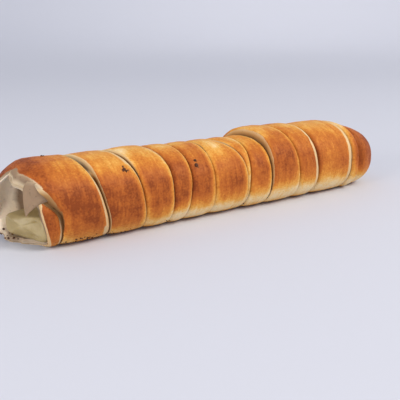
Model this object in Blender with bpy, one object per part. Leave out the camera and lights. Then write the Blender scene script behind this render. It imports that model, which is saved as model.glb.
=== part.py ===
"""Baked cheese roll: one strip of dough wound round a stick of halloumi, open at one end.

The roll lies along X with its open end at -X, and rests on its baked underside at Z = 0.
Its front, the side that is seen most, faces -Y. The two pieces are the bread, which is the
whole wound strip in one solid, and the stick of cheese inside it.

The strip is described by how far it has been wound, in turns. Turn 0 is the tail of the strip,
tucked under turn 1 at the open end, and the last turn closes the far end. One groove, the seam,
runs the whole way between each turn and the next. Angles are measured round the roll from the
top, over the front, to the underside and up the back. All sizes below are in millimetres.
"""

import math
from typing import NamedTuple

import bmesh
import bpy
import numpy as np

MM = 0.001
FRONT = 0.25  # share of a turn from the top of the roll to its front

# The roll as a whole
LENGTH = 250.0
HALF_LENGTH = LENGTH / 2
HEIGHT_SHARE = 0.87  # the dough sags, so each section is lower than it is wide
SQUARENESS = 2.3  # exponent of the section, a little fuller than an ellipse
BASE_FLAT = 0.8  # how much of the round underside is pressed flat
UNDERSIDE_PRESS = 0.7  # the roll's weight closes this share of the seam's depth underneath
CROWN = 0.7  # how far the middle of a turn stands above its edges
FULL_TURN_WIDTH = 6.0  # a turn squeezed narrower than this sinks into its seams
NARROWEST_TURN = 0.01
WIDEST_RISE = 0.45  # share of a turn's width that one rounded edge may take
FAR_END_START = 94.0  # x where the closed end starts to round off
FAR_END_TIP = HALF_LENGTH + 0.3  # x where it would close, but for the tuck in its middle
FAR_END_POWER = 2.4
FAR_END_CENTRE = 17.6  # height of the middle of the closed end, which lifts off the base
FAR_END_DIMPLE = 1.2  # depth of the tuck where the strip ends
MOUTH_START = -109.0  # x where the roll starts to round over towards its open end
MOUTH_NARROWING = 0.2
MOUTH_POWER = 2.0

# The lip of dough round the open end, and the hollow behind it
MOUTH_EDGE_END = 0.95  # turns wound where the lip starts to turn into the edge of turn 1
LIP_ROUND = 2.0  # how far the lip's nose lies inside its outer face
LIP_BACKSET = 1.2  # how far the face of the lip lies behind its nose
LIP_FACE = 0.8  # how far out that face starts, as a share of the way from the inner wall
FLAP_FACES = (0.7, 0.2)  # the flap's outer and inner face, as such shares
THINNEST_LIP = 1.6
HOLLOW_FULL = 16.0  # depth to which the hollow over the cheese keeps its full size
HOLLOW_END = 42.0  # depth at which its roof has come down onto the cheese
HOLLOW_FLARE = 0.5  # how fast it may widen behind the lip
HOLLOW_POWER = 1.5  # how suddenly the roof starts to come down
HOLLOW_HALF_WIDTH = 17.8
HOLLOW_HALF_HEIGHT = 16.8
HOLLOW_CENTRE = (3.0, 21.4)  # y and z

# The stick of cheese
CHEESE_HALF_WIDTH = 13.8
CHEESE_HALF_HEIGHT = 7.3
CHEESE_CORNER = 5.0
CHEESE_CENTRE = (-0.6, 10.2)  # y and z
CHEESE_NEAR_END = -116.4  # x at the middle of its cut end
CHEESE_SLANT = 0.40  # the cut end faces a little towards the front
CHEESE_FAR_END = 100.0
CHEESE_EDGE = 1.2  # rounding of its ends
CHEESE_CLEARANCE = 0.3

# How finely the surfaces are divided
COLUMNS = 40  # round the roll
RISE_STEPS = (0.0, 0.3, 1.0)  # places across a rounded edge, as shares of its width
CROWN_STEPS = (0.3, 0.62)  # places between them, as shares of the turn's width
HOLLOW_DEPTHS = (5.0, 10.0, 16.0, 22.0, 28.0, 34.0, 42.0)
TUNNEL_STEPS = 5
CHEESE_STEPS = (0.25, 0.5, 0.75)
CREASE_DEGREES = 50.0  # edges sharper than this are shaded as creases
TINY = 1e-9  # stands for zero where a direction divides


class Groove(NamedTuple):
    """The section of the groove between two turns."""

    depth: float  # below the lower of the two turns beside it
    gap: float  # width of its floor
    left_round: float  # width over which the turn on its left rounds down to it
    right_round: float  # the same for the turn on its right


class Seam(NamedTuple):
    """One pass of the seam between two turns."""

    top: float  # x where it crosses the crest of the roll
    shoulder: float  # x a sixth of the way round, on the front
    belly: float  # x a third of the way round
    foot: float  # x on the underside
    groove: Groove


# From the open end to the closed end, after the edge of turn 1
SEAMS = (
    Seam(-89.0, -82.5, -77.0, -74.0, Groove(4.2, 1.8, 3.0, 2.6)),
    Seam(-66.0, -59.5, -56.0, -53.0, Groove(2.6, 0.9, 2.4, 2.4)),
    Seam(-44.0, -40.0, -39.5, -39.0, Groove(1.6, 0.4, 1.8, 3.4)),
    Seam(-28.5, -27.5, -29.0, -30.0, Groove(1.6, 0.4, 1.8, 3.6)),
    Seam(-12.0, -12.5, -12.0, -11.0, Groove(1.5, 0.4, 1.8, 3.6)),
    Seam(-7.0, 6.5, 9.4, 9.6, Groove(1.3, 0.3, 1.6, 2.0)),
    Seam(12.0, 11.2, 10.4, 10.4, Groove(1.6, 0.4, 1.8, 3.0)),
    Seam(18.0, 24.0, 28.0, 31.0, Groove(2.8, 0.8, 2.2, 2.0)),
    Seam(43.0, 46.0, 49.0, 52.0, Groove(1.6, 0.5, 1.8, 3.0)),
    Seam(59.0, 61.5, 64.0, 66.0, Groove(2.6, 1.6, 2.4, 2.8)),
    Seam(91.5, 92.5, 93.0, 93.5, Groove(2.8, 1.6, 2.6, 3.0)),
    Seam(97.5, 103.0, 105.0, 106.0, Groove(1.8, 0.4, 3.6, 3.6)),
    Seam(109.0, 111.5, 113.0, 115.0, Groove(1.2, 0.3, 2.5, 2.5)),
)
EDGE_GROOVE = Groove(1.2, 0.6, 1.5, 2.8)  # where the edge of turn 1 lies on the tail
TURNS = len(SEAMS) + 2

# The edge of the strip round the open end: (degrees from the top, x). It comes out from under the
# edge of turn 1, runs down the tail and along below the cheese, and rises behind it to the hood.
MOUTH_EDGE = (
    (0, -120.8),
    (18, -121.2),
    (27, -119.8),
    (45, -116.6),
    (55, -114.2),
    (66, -112.6),
    (80, -112.0),
    (95, -111.2),
    (120, -110.0),
    (150, -108.6),
    (164, -109.6),
    (184, -117.0),
    (207, -122.8),
    (240, -124.6),
    (290, -125.0),
    (330, -124.8),
    (344, -123.6),
)
# The edge of turn 1, from the notch in the hood down the front: (degrees from the top, x)
FIRST_EDGE = (
    (0, -120.2),
    (8, -119.6),
    (18, -120.2),
    (27, -118.8),
    (50, -115.2),
    (63, -110.6),
    (76, -106.2),
    (92, -103.2),
    (120, -101.5),
    (180, -99.0),
)
# The flap inside the tail: (degrees from the top, how far it reaches out past the lip's nose)
FLAP_REACH = (
    (0, -1.2),
    (27, -1.2),
    (45, 2.8),
    (63, 6.8),
    (81, 7.4),
    (90, 7.2),
    (99, -1.2),
    (360, -1.2),
)

# Half the roll's width along the strip: (turns wound, half width). A whole number is at the top.
HALF_WIDTHS = (
    (0.0, 24.6),
    (0.08, 23.4),
    (0.17, 20.8),
    (0.25, 20.2),
    (0.32, 21.0),
    (0.4, 23.0),
    (0.5, 24.0),
    (0.75, 24.8),
    (1.0, 25.3),
    (1.5, 25.0),
    (3.0, 24.8),
    (4.0, 24.3),
    (6.0, 23.8),
    (8.0, 23.6),
    (8.35, 24.8),
    (9.0, 26.3),
    (10.0, 26.0),
    (11.0, 25.4),
    (12.0, 24.6),
    (14.0, 23.6),
    (15.0, 23.6),
)


def smooth_through(points, where):
    """Values at `where` on a smooth curve through (place, value) points, without overshoot."""
    places, values = np.array(points, float).T
    gaps = np.diff(places)
    slopes = np.diff(values) / gaps
    mean = (slopes[1:] + slopes[:-1]) / 2
    limit = 3 * np.minimum(abs(slopes[1:]), abs(slopes[:-1]))
    turning = slopes[1:] * slopes[:-1] <= 0
    inner = np.where(turning, 0.0, np.sign(mean) * np.minimum(abs(mean), limit))
    tangents = np.concatenate([slopes[:1], inner, slopes[-1:]])
    k = np.clip(np.searchsorted(places, where, side="right") - 1, 0, len(gaps) - 1)
    s = (where - places[k]) / gaps[k]
    ease = s * s * (3 - 2 * s)
    bend = tangents[k] * s * (1 - s) ** 2 - tangents[k + 1] * s * s * (1 - s)
    return values[k] * (1 - ease) + values[k + 1] * ease + gaps[k] * bend


def seam_x(wound):
    """x of the seam, from the mouth's edge in turn 0 to the ring that ends the last turn."""
    points = [(degrees / 360, x) for degrees, x in MOUTH_EDGE]
    points += [(1 + degrees / 360, x) for degrees, x in FIRST_EDGE]
    for turn, seam in enumerate(SEAMS, start=2):
        places = (seam.top, seam.shoulder, seam.belly, seam.foot)
        points += [(turn + step / 6, x) for step, x in enumerate(places)]
    points += [(TURNS, HALF_LENGTH), (TURNS + 1, HALF_LENGTH)]
    return smooth_through(points, wound)


def seam_measure(name, at_ends, wound):
    """A measure of the groove, such as its depth. `at_ends` holds at the mouth and far ring."""
    points = [(0.0, at_ends[0]), (MOUTH_EDGE_END, at_ends[0])]
    grooves = [EDGE_GROOVE] + [seam.groove for seam in SEAMS]
    points += [(turn + FRONT, getattr(groove, name)) for turn, groove in enumerate(grooves, start=1)]
    points += [(TURNS, at_ends[1]), (TURNS + 1, at_ends[1])]
    return smooth_through(points, wound)


def half_width(wound):
    """Half the roll's width where the strip has been wound this far."""
    return smooth_through(HALF_WIDTHS, np.clip(wound, 0, TURNS))


def far_share(x):
    """0 along the roll, rising to 1 over the closed end."""
    return np.clip((x - FAR_END_START) / (FAR_END_TIP - FAR_END_START), 0, 1)


def far_taper(x):
    """How much the roll narrows over its closed end."""
    return (1 - far_share(x) ** FAR_END_POWER) ** (1 / FAR_END_POWER)


def mouth_taper(x):
    """How much the roll narrows towards its open end."""
    near = np.clip((MOUTH_START - x) / (HALF_LENGTH + MOUTH_START), 0, 1)
    return 1 - MOUTH_NARROWING * near**MOUTH_POWER


def column_angles():
    """The angle of each column of points, from the top of the roll over its front."""
    return np.arange(COLUMNS) * 2 * math.pi / COLUMNS


def unit_section(angle):
    """(y, z) of the roll's section at an angle from its top, for a half width of 1."""
    side, up = np.sin(angle), np.cos(angle)
    reach = (abs(side) ** SQUARENESS + abs(up) ** SQUARENESS) ** (-1 / SQUARENESS)
    return -reach * side, HEIGHT_SHARE * reach * up


def skin_points(x, radius, crest, angle):
    """Points of the outer skin at half width `radius`, where the strip's own is `crest`."""
    y, z = unit_section(angle)
    resting = HEIGHT_SHARE * crest * mouth_taper(x) - BASE_FLAT
    centre = resting + (FAR_END_CENTRE - resting) * far_share(x)
    reach = radius * mouth_taper(x) * far_taper(x)
    return np.stack([x, y * reach, np.maximum(centre + z * reach, 0)], axis=-1)


def lower_crest(wound):
    """Half width of the lower of the two turns beside the seam."""
    before, after = half_width(wound - 1), half_width(wound)
    before = np.where(wound < 1, after, before)
    after = np.where(wound > TURNS, before, after)
    return np.minimum(before, after)


def turn_foot(wound, side):
    """One foot of a turn, down in the seam: its x, its depth, the crest that the depth is taken
    from, and the width over which the turn rises from it. `side` is -1 for the left foot."""
    x = seam_x(wound) - side * seam_measure("gap", (0.0, 0.0), wound) / 2
    under = np.clip(-np.cos(2 * math.pi * wound), 0, 1)
    pressed = 1 - UNDERSIDE_PRESS * under * (2 - under)
    depth = seam_measure("depth", (LIP_ROUND, 0.0), wound) * pressed
    rounding = "left_round" if side > 0 else "right_round"
    rise = seam_measure(rounding, (LIP_ROUND, LIP_ROUND), wound)
    return x, depth, lower_crest(wound), rise


def row_places(x_left, x_right, rise_left, rise_right):
    """x of each row of points across a turn."""
    places = [x_left + step * rise_left for step in RISE_STEPS]
    places += [x_left + share * (x_right - x_left) for share in CROWN_STEPS]
    return places + [x_right - step * rise_right for step in reversed(RISE_STEPS)]


def turn_rows(turn):
    """The rows of points across one turn of the strip, from its left foot to its right."""
    angle = column_angles()
    wound = turn + angle / (2 * math.pi)
    crest = half_width(wound)
    x_left, depth_left, low_left, rise_left = turn_foot(wound, -1)
    x_right, depth_right, low_right, rise_right = turn_foot(wound + 1, 1)
    room = np.maximum(x_right - x_left, NARROWEST_TURN)
    rise_left = np.minimum(rise_left, WIDEST_RISE * room)
    rise_right = np.minimum(rise_right, WIDEST_RISE * room)
    rows = []
    for x in row_places(x_left, x_right, rise_left, rise_right):
        share = (x - x_left) / room
        low = low_left * (1 - share) + low_right * share
        floor = low - depth_left * (1 - share) - depth_right * share
        up_left = np.clip((x - x_left) / rise_left, 0, 1)
        up_right = np.clip((x_right - x) / rise_right, 0, 1)
        arch = np.sqrt(1 - (1 - up_left) ** 2) * np.sqrt(1 - (1 - up_right) ** 2)
        arch = arch * np.minimum(room / FULL_TURN_WIDTH, 1)
        dome = crest + CROWN * (1 - (2 * share - 1) ** 2)
        radius = floor + (dome - floor) * arch
        rows.append(skin_points(x, radius, low + (crest - low) * arch, angle))
    return rows


def box_reach(direction, half_across, half_height, corner):
    """How far a rounded box reaches from its centre in each (y, z) direction."""
    across, up = np.maximum(abs(direction), TINY)
    flat = np.minimum(half_across / across, half_height / up)
    inner_y, inner_z = half_across - corner, half_height - corner
    along = across * inner_y + up * inner_z
    off = across * inner_z - up * inner_y
    turned = along + np.sqrt(np.maximum(corner**2 - off**2, 0))
    in_corner = (flat * across > inner_y) & (flat * up > inner_z)
    return np.where(in_corner, turned, flat)


def inside_directions():
    """Unit (y, z) directions from the middle of the cheese towards each column of the skin."""
    crest = np.full(COLUMNS, half_width(1.0))
    skin = skin_points(np.zeros(COLUMNS), crest, crest, column_angles())
    toward = skin[:, 1:].T - np.array(CHEESE_CENTRE)[:, None]
    return toward / np.hypot(*toward)


def cheese_reach(grown):
    """How far the cheese's section reaches in each direction, grown by a clearance."""
    size = CHEESE_HALF_WIDTH + grown, CHEESE_HALF_HEIGHT + grown, CHEESE_CORNER + grown
    return box_reach(inside_directions(), *size)


def hollow_reach():
    """How far the hollow over the cheese reaches from the middle of the cheese."""
    axes = np.array([[HOLLOW_HALF_WIDTH], [HOLLOW_HALF_HEIGHT]])
    offset = (np.array(CHEESE_CENTRE) - np.array(HOLLOW_CENTRE))[:, None] / axes
    step = inside_directions() / axes
    a, b = (step**2).sum(0), (offset * step).sum(0)
    c = (offset**2).sum(0) - 1
    return (-b + np.sqrt(b * b - a * c)) / a


def inside_points(x, reach):
    """Points inside the roll, at a distance from the line through the middle of the cheese."""
    y, z = np.array(CHEESE_CENTRE)[:, None] + reach * inside_directions()
    return np.stack([x, y, z], axis=-1)


def wall_reach(nose, depth):
    """How far the inner wall reaches from the middle of the cheese, at a depth behind the lip."""
    lip = np.hypot(*(nose[:, 1:] - np.array(CHEESE_CENTRE)).T) - THINNEST_LIP
    closing = np.clip((depth - HOLLOW_FULL) / (HOLLOW_END - HOLLOW_FULL), 0, 1)
    roof = hollow_reach() * (1 - closing**HOLLOW_POWER)
    return np.maximum(cheese_reach(CHEESE_CLEARANCE), np.minimum(roof, lip + HOLLOW_FLARE * depth))


def lip_rings(nose):
    """The rings across the lip of the open end and its flap, from the nose inwards."""
    wall = inside_points(nose[:, 0], wall_reach(nose, 0.0))
    flap = nose[:, 0] - smooth_through(FLAP_REACH, np.degrees(column_angles()))
    rings = []
    for x, share in zip((nose[:, 0] + LIP_BACKSET, flap, flap), (LIP_FACE, *FLAP_FACES)):
        ring = wall + (nose - wall) * share
        ring[:, 0] = x
        rings.append(ring)
    return rings


def inner_rings(nose):
    """The rings of the inner wall, from behind the lip through the hollow to the tunnel's end."""
    rings = []
    for depth in HOLLOW_DEPTHS:
        square = min(depth / HOLLOW_END, 1)
        x = nose[:, 0] * (1 - square) - HALF_LENGTH * square + depth
        rings.append(inside_points(x, wall_reach(nose, depth)))
    tunnel, tunnel_end = cheese_reach(CHEESE_CLEARANCE), CHEESE_FAR_END + CHEESE_CLEARANCE
    for x in np.linspace(HOLLOW_END - HALF_LENGTH, tunnel_end, TUNNEL_STEPS + 1)[1:]:
        rings.append(inside_points(np.full(COLUMNS, x), tunnel))
    return rings


def cheese_rings():
    """The rings of the stick of cheese, from its cut end to the end inside the bread."""
    full, eased = cheese_reach(0.0), cheese_reach(-CHEESE_EDGE)
    y = inside_points(np.zeros(COLUMNS), full)[:, 1]
    cut = CHEESE_NEAR_END - CHEESE_SLANT * (y - CHEESE_CENTRE[0])
    far = np.full(COLUMNS, CHEESE_FAR_END)
    rings = [inside_points(cut, eased), inside_points(cut + CHEESE_EDGE, full)]
    rings += [inside_points(cut * (1 - s) + far * s, full) for s in CHEESE_STEPS]
    rings += [inside_points(far - CHEESE_EDGE, full), inside_points(far, eased)]
    return rings


class Skin:
    """Points and faces collected line by line along the roll, to become one closed mesh.

    Every line runs round the roll from the top over the front. With each new line further along
    the surface, the faces between them point outwards.
    """

    def __init__(self):
        """Starts with no points and no lines."""
        self.points = []
        self.lines = []

    def add_points(self, points):
        """Adds points and returns their numbers."""
        first = len(self.points)
        self.points.extend(points)
        return list(range(first, len(self.points)))

    def add_rings(self, rings):
        """Adds closed lines, one for each ring of points."""
        for ring in rings:
            numbers = self.add_points(ring)
            self.lines.append(numbers + numbers[:1])

    def add_pole(self, point):
        """Adds a line that is drawn together in one point, which closes an end."""
        self.lines.append(self.add_points([point]) * (COLUMNS + 1))

    def faces(self):
        """The faces between neighbouring lines, without those that have closed to nothing."""
        faces = []
        for line, following in zip(self.lines[:-1], self.lines[1:]):
            for corners in zip(line[:-1], line[1:], following[1:], following[:-1]):
                distinct = list(dict.fromkeys(corners))
                if len(distinct) > 2:
                    faces.append(distinct)
        return faces

    def to_object(self, name):
        """Makes the Blender object, in metres."""
        mesh = bpy.data.meshes.new(name)
        mesh.from_pydata(np.array(self.points) * MM, [], self.faces())
        work = bmesh.new()
        work.from_mesh(mesh)
        bmesh.ops.triangulate(work, faces=work.faces, quad_method="SHORT_EDGE")
        work.to_mesh(mesh)
        work.free()
        mesh.shade_smooth()
        mesh.set_sharp_from_angle(angle=math.radians(CREASE_DEGREES))
        return bpy.data.objects.new(name, mesh)


def add_wound_strip(skin):
    """Adds the outside of the roll, from the mouth's edge to the ring at the far end.

    Each row of a turn runs on into the same row of the next turn. The rows of the first turn
    start together in one point of the mouth, and those of the last turn end in one point too.
    """
    turns = [[skin.add_points(row) for row in turn_rows(turn)] for turn in range(TURNS)]
    start, finish = turns[1][0][0], turns[-1][-1][0]
    for row in turns[0]:
        row[0] = start
    following = [[row[0] for row in turn] for turn in turns[1:]]
    following.append([finish] * len(turns[-1]))
    for turn, ends in zip(turns, following):
        skin.lines += [row + [end] for row, end in zip(turn, ends)]


def make_bread():
    """The whole strip of dough as one solid: the tunnel inside, the lip and the outside."""
    skin = Skin()
    nose = turn_rows(0)[0]
    skin.add_pole((CHEESE_FAR_END + CHEESE_CLEARANCE, *CHEESE_CENTRE))
    skin.add_rings(reversed(lip_rings(nose) + inner_rings(nose)))
    add_wound_strip(skin)
    skin.add_pole((HALF_LENGTH - FAR_END_DIMPLE, 0.0, FAR_END_CENTRE))
    return skin.to_object("bread")


def make_cheese():
    """The stick of halloumi, which fills its tunnel and ends a little inside the lip."""
    skin = Skin()
    skin.add_pole((CHEESE_NEAR_END, *CHEESE_CENTRE))
    skin.add_rings(cheese_rings())
    skin.add_pole((CHEESE_FAR_END, *CHEESE_CENTRE))
    return skin.to_object("cheese")


def make_material(name, colour, roughness):
    """A plain Principled material."""
    material = bpy.data.materials.new(name)
    material.use_nodes = True
    surface = material.node_tree.nodes["Principled BSDF"]
    surface.inputs["Base Color"].default_value = (*colour, 1.0)
    surface.inputs["Roughness"].default_value = roughness
    surface.inputs["Metallic"].default_value = 0.0
    return material


def clear_scene():
    """Removes whatever the scene holds."""
    for old in list(bpy.data.objects):
        bpy.data.objects.remove(old, do_unlink=True)


def main():
    """Builds the two pieces in a collection of their own."""
    clear_scene()
    collection = bpy.data.collections.new("cheese_roll")
    bpy.context.scene.collection.children.link(collection)
    crust = make_material("Browned crust", (0.46, 0.16, 0.05), 0.55)
    halloumi = make_material("Warm halloumi", (0.62, 0.55, 0.32), 0.45)
    for piece, material in ((make_bread(), crust), (make_cheese(), halloumi)):
        piece.data.materials.append(material)
        collection.objects.link(piece)


main()
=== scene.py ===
"""Looks of a baked cheese roll: one strip of bread dough wound round a stick of halloumi.

The roll lies along X with its open end at -X and its front at -Y, as its solids do. Its skin is
worked out again here by the rule that shaped the solids, but much finer, and each point also
carries how far it has browned, where bare dough shows, how much shade is painted on it and where
it lies on the strip. Geometry Nodes then wrinkle the dough and stick crumbs to it, and the
materials colour it from those values.
Sizes are in millimetres, angles go round from the top over the front, and "wound" counts turns.
"""

import logging
import math
from dataclasses import dataclass, field
from enum import Enum
from typing import Any, Callable, Iterable, NamedTuple, Sequence

import bpy
import numpy as np
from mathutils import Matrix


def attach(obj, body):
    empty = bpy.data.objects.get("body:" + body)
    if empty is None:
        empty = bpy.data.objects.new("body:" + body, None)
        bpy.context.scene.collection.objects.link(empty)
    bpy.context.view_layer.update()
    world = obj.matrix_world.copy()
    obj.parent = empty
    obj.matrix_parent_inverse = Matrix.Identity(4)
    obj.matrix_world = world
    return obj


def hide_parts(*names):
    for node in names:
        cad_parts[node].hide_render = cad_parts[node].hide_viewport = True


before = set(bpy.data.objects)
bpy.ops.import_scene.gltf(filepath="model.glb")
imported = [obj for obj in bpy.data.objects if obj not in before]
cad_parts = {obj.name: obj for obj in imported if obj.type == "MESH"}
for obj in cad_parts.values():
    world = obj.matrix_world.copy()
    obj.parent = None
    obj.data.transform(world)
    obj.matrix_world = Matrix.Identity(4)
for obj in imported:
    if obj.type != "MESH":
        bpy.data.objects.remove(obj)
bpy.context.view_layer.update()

MM = 0.001
BODY = "root"
TINY = 1e-9
FULL_TURN = 2 * math.pi

Points = Sequence[tuple[float, float]]
Stops = tuple[tuple[float, str], ...]
Place = tuple[float, float, float]
Inputs = dict[Any, Any]
log = logging.getLogger("cheese_roll")


class Slot(Enum):
    """The record's material slots."""

    BREAD = "bread"
    CHEESE = "cheese"


# ---- Numbers --------------------------------------------------------------------------------


def smooth_through(points: Points, where: Any) -> Any:
    """Reads a smooth curve through points, without overshoot.

    Args:
        points: (place, value) pairs in rising order of place.
        where: the places to read it at.

    Returns:
        The values there.
    """
    places, values = np.array(points, float).T
    gaps = np.diff(places)
    slopes = np.diff(values) / gaps
    mean = (slopes[1:] + slopes[:-1]) / 2
    limit = 3 * np.minimum(abs(slopes[1:]), abs(slopes[:-1]))
    turning = slopes[1:] * slopes[:-1] <= 0
    inner = np.where(turning, 0.0, np.sign(mean) * np.minimum(abs(mean), limit))
    tangents = np.concatenate([slopes[:1], inner, slopes[-1:]])
    k = np.clip(np.searchsorted(places, where, side="right") - 1, 0, len(gaps) - 1)
    s = np.clip((where - places[k]) / gaps[k], 0, 1)
    ease = s * s * (3 - 2 * s)
    bend = tangents[k] * s * (1 - s) ** 2 - tangents[k + 1] * s * s * (1 - s)
    return values[k] * (1 - ease) + values[k + 1] * ease + gaps[k] * bend


def smooth_step(low: Any, high: Any, value: Any) -> Any:
    """Rises smoothly from 0 at `low` to 1 at `high`."""
    share = np.clip((value - low) / (high - low), 0, 1)
    return share * share * (3 - 2 * share)


class Fade(NamedTuple):
    """A change that comes softly between two places."""

    low: float
    high: float
    share: float = 1.0  # its full strength

    def rise(self, value: Any) -> Any:
        """0 below `low`, at full strength above `high`."""
        return self.share * smooth_step(self.low, self.high, value)

    def fall(self, value: Any) -> Any:
        """At full strength below `low`, 0 above `high`."""
        return self.share * (1 - smooth_step(self.low, self.high, value))


class Band(NamedTuple):
    """A range with soft ends."""

    start: float
    full: float
    fading: float
    end: float

    def share(self, value: Any) -> Any:
        """1 inside the range, 0 outside it."""
        return smooth_step(self.start, self.full, value) * (1 - smooth_step(self.fading, self.end, value))


def in_turns(*edges: Points) -> Points:
    """Joins tables by degrees, one for each turn, into one table by turns."""
    return [(turn + degrees / 360, value) for turn, edge in enumerate(edges) for degrees, value in edge]


def in_sixths(values: Iterable[float]) -> Points:
    """Places values a sixth of a turn apart."""
    return [(step / 6, value) for step, value in enumerate(values)]


def ripple(seed: float, *places: Any) -> Any:
    """Smooth unevenness between about -1 and 1, the same each run.

    Args:
        seed: shifts the pattern.
        places: coordinates, each already divided by the size of a wave.

    Returns:
        The unevenness at those coordinates.
    """
    total = 0.0
    for step, weight in ((1.0, 0.5), (1.9, 0.3), (3.1, 0.2)):
        wave = 1.0
        for number, place in enumerate(places, start=1):
            wave = wave * np.sin(place * step * 2.0 + seed * 12.9 * step * number)
        total = total + weight * wave
    return total


def linear(colour: str) -> tuple[float, float, float, float]:
    """Turns an sRGB hex colour such as "#C07030" into linear RGBA."""
    parts = [int(colour[i : i + 2], 16) / 255 for i in (1, 3, 5)]
    return (*(c / 12.92 if c <= 0.04045 else ((c + 0.055) / 1.055) ** 2.4 for c in parts), 1.0)


# ---- Nodes and objects ----------------------------------------------------------------------


def new_object(name: str, data: Any) -> bpy.types.Object:
    """Puts a new object in the scene.

    Args:
        name: its name.
        data: its mesh, lamp or camera.

    Returns:
        The object.
    """
    thing = bpy.data.objects.new(name, data)
    bpy.context.scene.collection.objects.link(thing)
    return thing


class Rule:
    """A node tree in the making."""

    tree: bpy.types.NodeTree

    def add(self, kind: str, inputs: Inputs | None = None, **settings: Any) -> bpy.types.Node:
        """Adds one node.

        Args:
            kind: the node's type.
            inputs: for each socket, by name or number, its value, or the socket or node to link
                to it. A node stands for its first output in use.
            settings: the node's own properties.

        Returns:
            The new node.
        """
        node = self.tree.nodes.new(kind)
        for name, value in settings.items():
            setattr(node, name, value)
        for name, value in (inputs or {}).items():
            if isinstance(value, bpy.types.Node):
                value = next(socket for socket in value.outputs if socket.enabled)
            if isinstance(value, bpy.types.NodeSocket):
                self.tree.links.new(value, node.inputs[name])
            else:
                node.inputs[name].default_value = value
        return node


class SurfaceRule(Rule):
    """A material's tree."""

    def __init__(self, name: str) -> None:
        """Starts an empty material.

        Args:
            name: what the material is.
        """
        self.material = bpy.data.materials.new(name)
        self.material.use_nodes = True
        self.tree = self.material.node_tree
        self.tree.nodes.clear()
        self.place = self.add("ShaderNodeTexCoord").outputs["Object"]

    def finish(self, surface: Inputs) -> bpy.types.Material:
        """Ends the tree.

        Args:
            surface: the inputs of its Principled BSDF.

        Returns:
            The material.
        """
        self.add("ShaderNodeOutputMaterial", {"Surface": self.add("ShaderNodeBsdfPrincipled", surface)})
        return self.material


def set_ramp(node: bpy.types.Node, stops: Stops) -> bpy.types.Node:
    """Gives a colour ramp its stops.

    Args:
        node: a Color Ramp node.
        stops: places and hex colours, in rising order.

    Returns:
        The same node.
    """
    elements = node.color_ramp.elements
    while len(elements) < len(stops):
        elements.new(1.0)
    for element, (place, colour) in zip(elements, stops):
        element.position = place
        element.color = linear(colour)
    return node


class GeometryRule(Rule):
    """A Geometry Nodes tree with named inputs, which is applied to a piece and then baked."""

    def __init__(self, name: str) -> None:
        """Starts a tree that takes and gives a mesh.

        Args:
            name: what the tree does.
        """
        self.tree = bpy.data.node_groups.new(name, "GeometryNodeTree")
        for way in ("INPUT", "OUTPUT"):
            self.tree.interface.new_socket("Geometry", in_out=way, socket_type="NodeSocketGeometry")
        self.start = self.add("NodeGroupInput")
        self.values: dict[str, Any] = {}

    def take(self, name: str, value: float) -> bpy.types.NodeSocket:
        """Adds a named input.

        Args:
            name: the input's name.
            value: what the modifier sets it to.

        Returns:
            The socket to link from.
        """
        socket = "NodeSocketInt" if isinstance(value, int) else "NodeSocketFloat"
        item = self.tree.interface.new_socket(name, in_out="INPUT", socket_type=socket)
        self.values[item.identifier] = value
        return self.start.outputs[name]

    def finish(self, result: bpy.types.Node, material: bpy.types.Material) -> "GeometryRule":
        """Ends the tree.

        Args:
            result: the node that gives its geometry.
            material: the material of all of it.

        Returns:
            The rule.
        """
        real = self.add("GeometryNodeRealizeInstances", {"Geometry": result})
        dressed = self.add("GeometryNodeSetMaterial", {"Geometry": real, "Material": material})
        self.add("NodeGroupOutput", {"Geometry": dressed})
        return self

    def apply_to(self, piece: bpy.types.Object) -> None:
        """Runs the tree on a piece and keeps the result as its plain mesh.

        Args:
            piece: the object whose mesh is replaced.
        """
        modifier = piece.modifiers.new(self.tree.name, "NODES")
        modifier.node_group = self.tree
        for identifier, value in self.values.items():
            modifier[identifier] = value
        depsgraph = bpy.context.evaluated_depsgraph_get()
        baked = bpy.data.meshes.new_from_object(
            piece.evaluated_get(depsgraph), preserve_all_data_layers=True, depsgraph=depsgraph
        )
        piece.modifiers.clear()
        rough, piece.data = piece.data, baked
        bpy.data.meshes.remove(rough)
        baked.name = piece.name


# ---- Finishes -------------------------------------------------------------------------------
# Some sockets go by number. Map Range: 0 is the value, 1 and 2 the range that it comes from, 3
# and 4 the range that it goes to. Mix: 0 is the share, 2 and 3 numbers, 6 and 7 colours.

WIDE = {1: 0.25, 2: 0.75}  # the middle of a noise's values, which a Map Range spreads out
NARROW = {1: 0.3, 2: 0.7}


class Pattern(NamedTuple):
    """Noise that a finish is made of."""

    size: float
    detail: float
    swing: float = 0.0  # how far it shifts the browning

    def inputs(self, place: bpy.types.NodeSocket) -> Inputs:
        """The inputs of its noise node."""
        return {"Vector": place, "Scale": 1 / (self.size * MM), "Detail": self.detail}


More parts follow.
